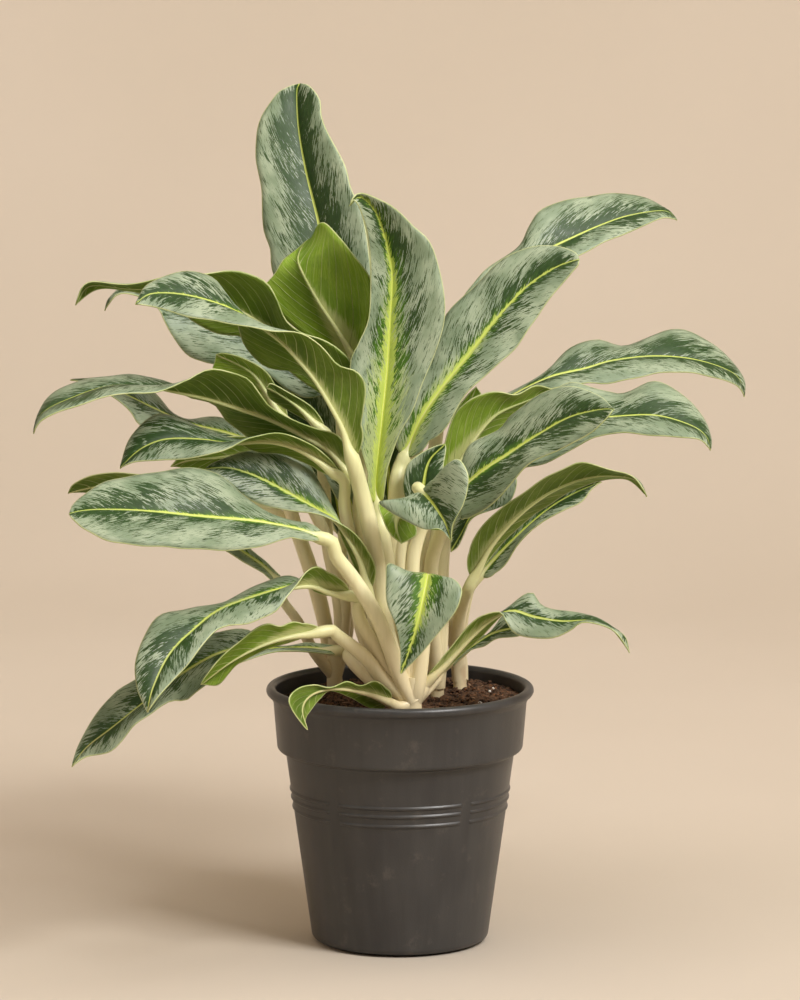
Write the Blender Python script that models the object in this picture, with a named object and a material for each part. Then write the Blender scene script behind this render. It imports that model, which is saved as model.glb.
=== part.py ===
"""A chinese evergreen in a round nursery pot, modelled leaf by leaf.

Metres, +Z up. The origin is the middle of the pot's underside, and the front of the plant is -Y.
"""

import math

import bmesh
import bpy
import numpy as np
from mathutils import Vector, noise

MM = 0.001
CM = 0.01

# Driving dimensions of the pot and the soil, in millimetres. A pair is a radius and a height, or a
# chamfer's two legs; the soil's lumps are a frequency, a share of the crumbs' height and a layer of noise.
POT_RIM_RADIUS = 95.0
POT_RIM_HEIGHT = 180.5
BEAD_RADIUS = 3.5
BEAD_TURNS = (-60.0, -15.0, 30.0, 75.0, 120.0)
COLLAR_TOP = (90.0, 173.0)
COLLAR_FOOT = (87.4, 142.0)
COLLAR_CHAMFER = (1.6, 3.5)
BODY_TOP = (81.0, 134.5)
BODY_FOOT = (63.4, 7.0)
BODY_FOOT_CHAMFER = (2.4, 2.5)
FOOT_RING = (50.5, 56.5)
FOOT_RING_SLOPE = 1.5
CENTRE_PAD_RADIUS = 22.0
CENTRE_PAD_SLOPE = 2.0
UNDERSIDE_RECESS = 3.0
FLOOR_TOP = 5.0
WALL = 1.5
INNER_LEDGE = (1.8, 3.0)
INNER_LEDGE_RISE = 0.6
FLOOR_CHAMFER = (2.3, 2.0)
POT_SEGMENTS = 40
POT_SHARP_ANGLE = 35.0
RIB_HEIGHTS = (97.0, 104.0, 110.0)
RIB_HALF_WIDTH = 1.6
RIB_RISE = 0.8
RIB_ARCS = 5
RIB_ARC_HALF_ANGLE = 33.0
RIB_FADE = 6.0
DRAIN_HOLES = 6
DRAIN_RADIUS = 4.5
DRAIN_CIRCLE = 37.0
DRAIN_SIDES = 8
FOOT_NOTCHES = 3
FOOT_NOTCH_ANGLE = -114.0
FOOT_NOTCH = (12.0, 10.0, 3.0)
GAP = 0.3
SOIL_TOP = 172.0
SOIL_MOUND = 3.0
SOIL_TILT = 1.5
CRUMB_HEIGHT = 1.8
LARGE_LUMPS = (0.16, 1.0, 3.0)
SMALL_LUMPS = (0.4, 0.6, 9.0)
SOIL_RINGS = 7

# Driving dimensions of the leaves and stems, in millimetres.
BLADE = 0.9
RIB_DEPTH = 4.4
RIB_DEPTH_TIP = 1.0
RIB_TAPER = 1.3
FOOT_QUARTER = 0.7
BLADE_FOOT_HALF_WIDTH = 3.6
HALF_ARCH = 0.07
LEAN_POWER = 0.6
STATION_SPACING = 19.0
STATIONS = (7, 13)
END_CROWDING = 0.05
CURVE_STEPS = 12
STALK_POINT_SPACING = 36.0
STALK_GAP = 0.4
STALK_DROP = 0.5
STALK_LEAD = 9.0
STALK_FOOT = 181.0
STALK_CLEAR = 8.0
STALK_SINK = 20.0
STALK_SAMPLES = 200
CANE_FOOT = 110.0
CANE_TAPER = 0.7
CANE_SIDES = 8

# The plant is laid out in the front view, in centimetres. A place is its x and z on the upright plane
# through the pot's axis, as seen from EYE, with its depth behind that plane as a third number.
EYE = (0.0, -349.2, 83.4)
FAN_REACH = 19.0
FAN_POWER = 1.5

# Each leaf: left margin, midrib and right margin from the foot to the tip, as the upper face shows them,
# and how far the two margins stand behind the midrib where the leaf is broadest.
LEAVES = {
    "leaf_01": (
        "-5 43.5, -8.2 46.5, -9 48, -9.1 49.4, -9.6 50.9, -9.7 53.5, -10.1 56, -9.85 58.3, "
        "-8.7 60.2, -7.8 60.8",
        "-4.2 43 5, -4.8 47 5.5, -5.7 51.3 6.5, -6.6 55 7.5, -7.1 58 8.5, -7.2 60.4 9.3, "
        "-7 61.05 9.6",
        "-3.6 43.2, -2 46, -2.1 48.5, -2.65 52, -3.4 53.6, -3.85 55.3, -5.1 57.7, -5.5 58.8, "
        "-5.6 59.9, -6.3 60.85",
        (-1, -1),
    ),
    "leaf_02": (
        "-1.9 31.5, -2.1 33, -2.9 36, -3.2 38.5, -3.5 41.3, -2.9 42.8, -2.2 44.5, -2.05 47.5, "
        "-2.2 50, -2.7 52, -3.2 52.9",
        "-1.6 31.4 -1.5, -1.7 33 -1.5, -1.3 37 -1, -0.9 41 0, -0.7 44.5 0.5, -0.55 47.5 0.8, "
        "-0.8 49.3 0.6, -1.2 50.8 0, -1.8 52.2 -1, -2.8 53.1 -2, -3.6 52.5 -2.6",
        "-1.3 31.5, -1 33.5, 0 36.4, 0.9 38, 1.6 40, 2.45 42, 3.15 44.5, 3.05 46.7, 2.5 49, "
        "1.9 50.2, 1 51, 0 52, -1 52.7, -2.8 53.35",
        (-1.8, -1),
    ),
    "leaf_03": (
        "-2.6 41.8, -2.5 43.5, -2 45, -1.95 47.1, -3.2 49, -4 50, -5 51.1, -5.5 51.3, "
        "-5.9 50.8",
        "-3 41.5 2.5, -4.2 43.5 2.2, -5.8 45.9 2, -7 48.2 2.2, -7 49.1 3.5, -6.5 49.9 4.4, "
        "-6 50.2 5",
        "-3.3 41.2, -4.8 42.2, -6.6 43.3, -8 44.4, -9.1 45.6, -9.7 46.5, -8.8 47.7, -8.1 48.7, "
        "-7.2 49.4, -6.5 50",
        (-0.8, 0.6),
    ),
    "leaf_04": (
        "-3 35, -2.75 36.8, -2.4 39.5, -3 40.8, -4.4 41.3, -5.6 42.7, -7 43.5, -9.5 43.75, "
        "-12 44.2, -15 44.7, -17 45.3",
        "-3.3 34.8 -4, -3.9 36.7 -4, -5 38.7 -3.9, -6 40.3 -3.8, -7 41.5 -3.6, -8.2 42.8 -3.4, "
        "-9.6 43.9 -3.4, -11.3 45 -3.6, -13.3 45.8 -3.9, -15.5 46.3 -4.2, -17.5 46.3 -4.6, "
        "-18.6 45.6 -5",
        "-3.6 35.2, -4.3 37.4, -5.5 39.3, -7 40.7, -9 41, -10 41.5, -10.9 42.6, -11.4 44.2, "
        "-12 46, -13 47.3, -14.5 47.9, -16 47.7, -17.8 46.9",
        (-1.4, 1.3),
    ),
    "leaf_05": (
        "-3.2 39.3, -3.4 41.3, -4.2 42.3, -5.5 43.1, -7 43.6, -8 44.4, -8.6 45.9, -9.4 47.1, "
        "-10.8 47.8, -12 47.9, -13.5 47.75, -16.5 47.5, -19 46.95, -21.9 47.1",
        "-3.6 38.8 0.5, -5.8 41 0.2, -8.3 43.2 0, -11 45 -0.4, -13.5 46 -0.6, -16 46.6 -0.6, "
        "-19 46.7 -0.6, -21.8 46.9 -0.8, -22.85 45.5 -1",
        "-4.2 38.5, -6.5 39.8, -9 41.8, -11 43.2, -13 43.5, -14.6 44.4, -16.5 45.8, -19 46.5, "
        "-21.2 46.6",
        (-1.2, 0.6),
    ),
    "leaf_06": (
        "-6 38.5, -8 39.5, -10 41, -13.1 41.3, -14 41.5, -15 42, -16 43.3, -16.5 44.3, "
        "-16.9 45.2, -18 46, -19.7 46.3",
        "-5 39.5 3, -8 41.5 3, -11 43.5 2.8, -14 45 2.6, -17 46 2.4, -19 46.45 2.2, "
        "-20.4 46 2, -20.8 45.1 2",
        "-5 40.5, -8 43, -11 45.5, -14 47, -16.5 47.2, -18 47, -19.8 46.6",
        (-1, 1.2),
    ),
    "leaf_07": (
        "-5.5 37.4, -6.2 38.3, -7.6 39.2, -9 39.95",
        "-5.6 36.8 -0.2, -7 38.2 -0.2, -8.3 39.1 -0.2, -9.4 39.7 -0.2",
        "-6.3 37.1, -7.8 38, -9.2 38.9",
        (-0.3, 0.3),
    ),
    "leaf_08": (
        "-7.9 38, -8.6 39.5, -9.4 40.8, -11 41.75, -12.3 42.1",
        "-8.2 37.5 0.9, -9.3 39.3 0.9, -10.5 40.8 0.9, -12.9 42.05 1.1",
        "-8.6 37.8, -10 39, -11.5 40, -13.1 40.7, -13 41.6",
        (-0.4, 0.4),
    ),
    "leaf_09": (
        "-3.6 34, -4 35.2, -4.4 36.3, -6 36.8, -8 37.6, -9.2 38.4, -9.9 39.3, -11 40.5, "
        "-13 40.95, -14 40.8, -15 40.2, -16.3 39.6, -18 39.25, -20 39.2, -22 38.6, -24 37.95, "
        "-25.3 37.3",
        "-3.4 33.4 -2.4, -5 35.2 -2.4, -7 36.4 -2.5, -9 37.4 -2.6, -11 38.1 -2.8, "
        "-13.5 38.9 -3, -16 39.45 -3.2, -18 39.8 -3.4, -20.5 39.8 -3.6, -23 39 -3.8, "
        "-25.2 37.9 -4, -25.9 36.4 -4.2",
        "-3.9 33.2, -5.5 34, -7.5 34.8, -9 35.3, -10.4 35.9, -12.2 37.3, -13 38.4, -15 39.1, "
        "-16.5 40.1, -18.5 40.55, -20.5 40.5, -23.3 39.9, -25.1 38.6",
        (-1.5, 1.5),
    ),
    "leaf_10": (
        "-9.8 35, -13 35.8, -16 36.2, -18.2 36.9, -19 38, -20.5 39.2, -22 39.9",
        "-9.5 35.5 3.2, -12 36.4 3.3, -15 37.2 3.5, -17.5 38.3 3.6, -20 39.5 3.8, "
        "-22 40.1 3.8, -23.2 40.25 3.8",
        "-9.6 36.2, -10.8 36.4, -12 37.3, -13 37.6, -15 37.45, -16.1 37.9, -17.1 39.2, "
        "-18.5 40.2, -20.5 40.4",
        (-1, 1),
    ),
    "leaf_11": (
        "-4.3 34, -5.4 35, -6.2 35.6, -7.5 36.2, -9 36.45, -10.5 36.1, -12 35.4, -14 34.75, "
        "-16.5 34.5, -18.6 34.4",
        "-4.6 33.6 -2.9, -5.8 34.6 -2.9, -7.5 35.5 -3, -9.5 35.9 -3.1, -12 35.75 -3.2, "
        "-14 36 -3.2, -16.5 36 -3.2, -18.3 35.3 -3.4, -19.8 33.95 -3.6",
        "-5 33.5, -6.5 34.2, -8.2 34.9, -10 35.1, -11.5 35.75, -12.5 36.15, -14.5 37, "
        "-16.5 37.8, -17.8 37.4, -19.1 36",
        (-1.2, 1.2),
    ),
    "leaf_12": (
        "-8.2 35.4, -10.5 36.2, -13 36, -15 35.2",
        "-8 34.6 0, -10.5 34.9 0, -13 34.7 0, -15 34.5 0, -16.2 34.1 0",
        "-8.5 33.8, -11 33.6, -13.3 33.4, -15 33.9",
        (-0.5, 0.5),
    ),
    "leaf_13": (
        "-2 25.6, -1.7 26.8, -2.3 28.1, -3.2 29.3, -4.3 30, -6 30.7, -8 30.9, -10.5 31.6, "
        "-12.5 33.2",
        "-2.3 25.4 -4.9, -2.7 27.2 -4.8, -3.5 28.8 -4.4, -4.4 30.1 -3.8, -6 31.1 -3.2, "
        "-8 32.25 -2.8, -10 33.3 -2.6, -12 33.95 -2.6, -13.8 33.9 -2.8",
        "-2.7 25.6, -3.3 27, -4.1 28.9, -4.5 30.2, -4.8 31.2, -5.7 33, -7 34.8, -9 35.3, "
        "-11 35.1, -13 34.4",
        (-0.9, 1),
    ),
    "leaf_14": (
        "-6 28.95, -7 29, -8 28.9, -10 28.3, -12 28.05, -16 28.25, -20 28.6, -22 29.4, "
        "-23.1 30.3",
        "-5.6 29.05 -7.4, -7.2 29.6 -7.3, -10 30.15 -7, -14 30.5 -7, -18 30.9 -7, -21 31 -7.3, "
        "-22.5 30.9 -7.6, -23.35 30.7 -8",
        "-5.3 29.5, -5.7 30.2, -7 30.1, -8.6 30.5, -9.7 31, -11 32, -13 33.6, -15 33.95, "
        "-17.5 33.6, -20.7 33, -22.5 31.9, -23.2 31.2",
        (-1.8, 1.7),
    ),
    "leaf_15": (
        "-13 33, -16 33.3, -19.5 33.6, -21.5 33.5, -23 32.85",
        "-12.5 32 3.6, -15 32.4 3.6, -18 32.7 3.6, -21 32.7 3.6, -23.45 32.2 3.6",
        "-13 31.2, -16 31.4, -19 31.8, -22 32.2",
        (-0.5, 0.5),
    ),
    "leaf_16": (
        "-9 25.95, -9.9 26.55, -11.2 27.3, -12.8 28.3, -14.5 29, -16.5 29.9",
        "-8.7 26 0.5, -9.7 27 0.5, -11 27.9 0.5, -13 29.2 0.6, -15.5 30.2 0.8, -18 30.6 1",
        "-8.5 26.2, -9.4 27.2, -10.6 28.2, -12.5 30.2, -15 31.2, -17 31.1",
        (-0.6, 0.6),
    ),
    "leaf_17": (
        "-3.8 25.4, -4.5 25.9, -5.1 26.5, -5.9 26.9, -6.7 26.5, -7.3 25.6, -8 24.7, -8.9 23.6, "
        "-10.5 22.9, -12.3 22.6, -13.3 22.1, -15 19.9, -16 18.8, -17.1 17.6",
        "-3.7 24.9 -5.6, -5.1 25.2 -5.8, -6.3 25.6 -6, -7.6 25.5 -6.4, -10 24.9 -7, "
        "-12.7 23.9 -7.5, -14.5 22.5 -8, -16.3 20.7 -8.5, -17.5 18.3 -9, -18 16.4 -9.3",
        "-3.9 24.6, -5 24.9, -6 25.1, -6.9 25.9, -8 26.25, -10 25.65, -11.5 24.85, -13 24.2, "
        "-15 23.9, -17 23.4, -18 22.2, -18.8 20, -18.7 18.2, -18.3 17.1",
        (-1.2, 1.2),
    ),
    "leaf_18": (
        "-5 20.6, -7 20.8, -9 20.75, -12 19.7, -13.2 18.8, -14.5 17.8, -15.2 17.3, "
        "-16.4 17.15, -18.6 15.7, -19.3 15, -19.9 14.2, -20.7 13.5, -22.3 13.2",
        "-4.6 20.9 -2, -7 21.1 -2.4, -9.5 21 -2.8, -12.5 20.8 -3.4, -15.5 19.2 -4, "
        "-18 17.3 -4.6, -20.5 15.3 -5.2, -22.3 13.9 -5.6, -23.4 12.5 -6",
        "-4.8 21.1, -5.8 21.7, -7 21.4, -8.7 21.2, -10 22, -11 22.4, -12.5 22.3, -14.5 21.7, "
        "-17 20.2, -18.9 18.7, -20.3 17.8, -21.8 16, -22.9 14",
        (-1.1, 1.1),
    ),
    "leaf_19": (
        "-6.2 22.6, -7.5 22.95, -8.5 22.65, -9.5 22.8, -11 21.9, -12.8 20.3, -13.7 19.2",
        "-5.8 22.25 -6.2, -8 21.9 -6.4, -10 21.2 -6.6, -12 20.1 -6.8, -14.2 18.45 -7",
        "-6.3 21.95, -8 21.4, -9.7 20.9, -11.5 19.9, -12.2 19.2, -13 18.35",
        (-0.7, 0.5),
    ),
    "leaf_20": (
        "-0.6 17.2, -1 18.2, -1.8 18.7, -2.8 18.35, -3.8 18.65, -5 18.2, -6 18.4, -7.2 18.2, "
        "-7.9 17.4, -7.6 16.4",
        "-0.8 17.2 -6.4, -2 17.7 -7, -3.5 18.1 -7.8, -5 18.15 -8.8, -6.4 17.6 -10, "
        "-7 16.6 -10.8, -6.65 15.1 -11.2",
        "-1.1 16.7, -1.6 16.5, -2.6 16.9, -3.6 17.5, -5 17.95, -5.7 17.35, -6.3 16.6, "
        "-6.75 15.9",
        (-0.8, 0.6),
    ),
    "leaf_21": (
        "4 45.5, 6 48, 8.2 49.5, 9 51, 10 52.3, 12 52.95, 15 53.35, 17 53.1, 18.6 52.3",
        "4 44.5 8.5, 7 47.3 8.8, 10 49.2 9, 12 50.2 9, 14 51.1 9, 16 51.8 8.8, 18.5 52.15 8.4, "
        "19.45 51.5 8",
        "4.6 44, 7.5 46, 10 47.6, 12.6 49, 14.5 50, 16.5 50.8, 18.3 51.6",
        (1.5, -1.5),
    ),
    "leaf_22": (
        "-0.2 35.3, -0.5 36.7, 0.7 39, 2 41.5, 2.8 43.8, 3.4 45.1, 5 46.6, 7 48.6, 9 49.55, "
        "11 49.65, 12.3 49.2",
        "0.3 34.8 2, 1.5 37.5 2.3, 3 39.7 2.8, 5 42.2 3.3, 7 44.8 3.6, 9 46.9 3.6, "
        "11 48.2 3.2, 12.55 48.75 2.6",
        "0.6 35.1, 1.2 35.5, 2.5 36.1, 3.4 37, 4.5 39, 6 40.5, 8 42.3, 9.2 44, 10.5 45.9, "
        "12 47.7, 12.5 48.3",
        (1.5, -1.5),
    ),
    "leaf_23": (
        "5.5 38.3, 8.2 39.6, 10 40.6, 12 42.5, 13.7 43.05, 15.5 42.65, 17 43, 19 43.8, "
        "21 43.35, 23 41.9, 24.2 40.3",
        "5.5 37.5 7.5, 8 39.2 7.3, 10.5 40.4 7, 13 41 6.8, 15 41.6 6.6, 18 41.9 6.4, "
        "21 41.6 6.2, 23.6 40.6 6, 24.3 39.0 5.8",
        "6 37, 8 38.4, 10.5 39.5, 13 39.95, 15 40, 18 40.65, 20 40.75, 22 40.4, 23.7 39.8",
        (1.3, -1.3),
    ),
    "leaf_24": (
        "6.5 35.5, 8.5 37.3, 10 39, 11.5 39.85, 12.5 40, 14.5 39.4, 15.7 39.25, 17.8 40.1, "
        "19.8 39.25, 21.4 37.5, 21.95 36.1",
        "6 34.5 1, 8.5 35.7 1, 11 36.9 0.8, 13 37.4 0.6, 15 37.6 0.4, 18 37.7 0, 20.5 37 -0.4, "
        "21.6 36.2 -0.6, 21.95 35.2 -0.8",
        "6.5 33.5, 8.8 33.95, 10.5 34.35, 12.5 35.5, 14 36.2, 15.5 36.45, 18.5 36.2, 21 36",
        (1.4, -1.4),
    ),
    "leaf_25": (
        "3.8 32.6, 4.2 34, 5 35.7, 7 36.7, 8 37.9, 10.3 39.4, 12 39.75, 14 39.1",
        "4 32 -4.5, 4.8 32.9 -4.6, 6 33.9 -4.8, 8 35.2 -5, 10 36.5 -5.2, 12 37.6 -5.5, "
        "14 38.1 -6, 15.05 38.15 -6.4",
        "4.2 31.5, 4.4 30.4, 5.2 30.5, 7 31.8, 8.6 33.8, 10 34.7, 12 35.6, 13.5 36.5, "
        "14.5 37.4",
        (1.7, -1.7),
    ),
    "leaf_26": (
        "3.9 33.2, 5.2 34.6, 6.8 36, 8.5 37, 10 38, 11 38.8",
        "3.4 33 3.4, 4.5 35 3.4, 5.6 36.6 3.5, 6.8 37.8 3.6, 8.5 38.6 3.8, 10 39.1 4, "
        "11.5 39.2 4.2",
        "2.7 33.7, 3 35.2, 3.4 36.7, 4 38, 5 38.9, 6.2 39.3, 7.1 39.35, 8.2 39.2, 9.5 39.8, "
        "10.6 39.6",
        (0.9, -0.9),
    ),
    "leaf_27": (
        "4.2 35.5, 5 37, 5.5 38.3, 5.75 39.1",
        "3.6 35 5.4, 4.2 37 5.4, 4.8 38.4 5.4, 5.35 39.75 5.4",
        "3.3 35.8, 3.7 37.2, 4.05 38.2, 4.7 39.1",
        (-0.3, -0.3),
    ),
    "leaf_28": (
        "0.4 31.5, 0.2 32.8, 0.55 34.2, 1.5 35, 2.5 35.5",
        "1.6 31.2 0, 1.7 33 0.2, 2.1 34.5 0.5, 3.2 35.65 0.8",
        "2.6 31.5, 3 32.8, 3.1 34.2, 3.25 35.2",
        (-0.4, -0.4),
    ),
    "leaf_29": (
        "1.95 32.6, 3 33.9, 4.1 34.55, 4.75 33.6, 4.75 32.5, 4.4 31.2, 3.75 30",
        "1.5 32.3 -6.2, 2 31.8 -7.2, 2.6 31 -8.2, 3.2 30 -9, 3.6 28.75 -9.5",
        "1 32, -0.2 31.7, -1.5 31.55, -1 31, 0.2 30.25, 1.7 29.55, 2.8 29.6",
        (-0.4, -0.2),
    ),
    "leaf_30": (
        "2.4 26, 3.6 26.1, 4.3 25.5, 4.35 24.8, 3.9 23.6, 2.8 22.2, 1.4 20.5, 0.4 19.5",
        "2 25.9 -6.8, 2 26.4 -8, 1.7 24.9 -9.2, 1.3 23 -10, 0.7 21 -10.4, 0.05 19.15 -10.6",
        "1.6 26.1, 0.3 26.7, -0.85 27.1, -1 26, -0.95 24.3, -0.3 22.6, 0 21, 0.02 19.8",
        (-0.4, -0.4),
    ),
    "leaf_31": (
        "5.5 26.3, 6.9 28.2, 8.7 30, 10.6 31.4, 12.3 32.4, 14 33, 16 33.15",
        "5.2 26.2 -1.5, 6.3 28.3 -1.6, 8 30.3 -1.8, 10 31.9 -2, 12 32.9 -2.2, 14 33.4 -2.4, "
        "16 33.35 -2.6, 17 32.9 -2.7, 17.5 31.9 -2.8",
        "4.95 26.6, 4.85 27.8, 5.2 28.9, 6.2 30.3, 8 31.7, 10 33.1, 12 34.15, 13.2 34.3, "
        "15 33.8, 16.5 33.3",
        (1, -0.9),
    ),
    "leaf_32": (
        "2.5 18.8, 4.1 20.3, 5.7 21.8, 7 23.2, 8 24.3, 9.3 25.05, 10 24.2, 11 23.8, 13 23.55, "
        "14.7 22.8",
        "2.2 18.9 -5, 3.6 20.4 -5, 5.2 22.1 -5, 6.6 23.3 -5, 8 23.75 -5, 9.5 23.3 -5, "
        "11.5 23 -5, 13.5 23.05 -5, 15 22.55 -5, 16 21.9 -5, 16.35 20.7 -5",
        "1.9 19, 3.1 20.5, 4.6 22.4, 5.8 23.4, 7.1 23.65, 7.6 22.8, 8.3 22, 10.5 21.7, "
        "12 22.3, 13 22.9, 15 22.4",
        (0.8, -0.8),
    ),
    "leaf_33": (
        "7.5 33.8, 8.25 33.1, 7.9 31.7, 7 31.1, 5.6 30.7, 4.95 30.2, 4.6 29.4, 4.1 28.3",
        "6.5 33.5 -1, 6 32 -1.3, 5 30.5 -1.6, 4.3 29.2 -1.8, 3.55 27.95 -2",
        "5.8 33.5, 4.8 32, 4 30.5, 3.6 29",
        (-0.3, 0.2),
    ),
    "leaf_34": (
        "-3.3 30, -4.4 31.6, -5.3 33.3, -6.2 34.9",
        "-3.1 29.8 0.7, -3.5 31.5 0.5, -4.3 33.3 -0.3, -5.5 34.8 -1.1, -7 36 -1.4",
        "-3 30.4, -3.2 32, -3.7 33.8, -4.8 35.4",
        (-0.2, 0.2),
    ),
    "leaf_35": (
        "-2.35 31.2, -2.4 30, -2.6 28.4, -3.2 27",
        "-2.5 31.8 -1.1, -2.8 30 -1.1, -3.1 28.3 -1.2, -3.7 26.2 -1.3",
        "-2.9 31.6, -3.3 30, -3.7 28.3, -3.9 27",
        (-0.2, 0.2),
    ),
    "leaf_36": (
        "0.2 31.3, -1.5 31.45, -1.2 30.2, -0.7 29.2",
        "0.5 31.1 -5.3, -0.2 30.4 -5.6, -0.3 29.6 -6, 0.1 28.5 -6.4",
        "0.85 30.6, 1.1 30, 1.2 29.2, 0.7 28.8",
        (-0.2, -0.2),
    ),
    "leaf_37": (
        "5.5 27, 6.8 28.8, 8.5 30.6, 10.3 32, 12.3 32.9",
        "5.7 26.3 1, 7 27.8 1, 8.6 29.4 0.9, 10.3 30.9 0.8, 12 32 0.7, 14.2 33 0.6",
        "6 25.95, 7.3 26.85, 8.3 28.4, 9.5 29.7, 11.5 30.9, 12.8 31.5, 13.5 32.4",
        (0.8, -0.8),
    ),
    "leaf_38": (
        "4.2 20.7, 5.6 21.9, 6.4 22.1, 7.3 23.4, 8.5 23.6",
        "3.6 20 -3.4, 5.2 21.3 -3.4, 6.8 22.2 -3.4, 9.5 22.7 -3.4",
        "4 20, 5 20.85, 6 21.15, 6.9 21.7, 8.5 21.9",
        (0.2, -0.2),
    ),
    "leaf_39": (
        "-4.6 29.6, -5.3 31.6, -6.5 34.4, -8.2 37.4, -9.5 39.7",
        "-4.1 29.3 4, -4.5 32 4, -5.3 35 4, -6.8 38 4.1, -8.4 40.4 4.3, -9.7 41.6 4.6",
        "-3.7 29.6, -3.7 32, -3.9 34.5, -4.4 37, -5.4 39.6, -7.3 41.4",
        (-0.3, -0.3),
    ),
    "leaf_40": (
        "-1.1 30.8, -1.9 33, -2.2 36, -1.9 39, -1.4 40.8",
        "-0.7 30.6 3.2, -0.8 33 3.3, -0.9 36 3.4, -0.9 39 3.6, -0.9 41.5 4",
        "-0.4 30.8, 0.1 33, 0.3 36, 0 39, -0.5 40.8",
        (-0.3, -0.3),
    ),
}

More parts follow.
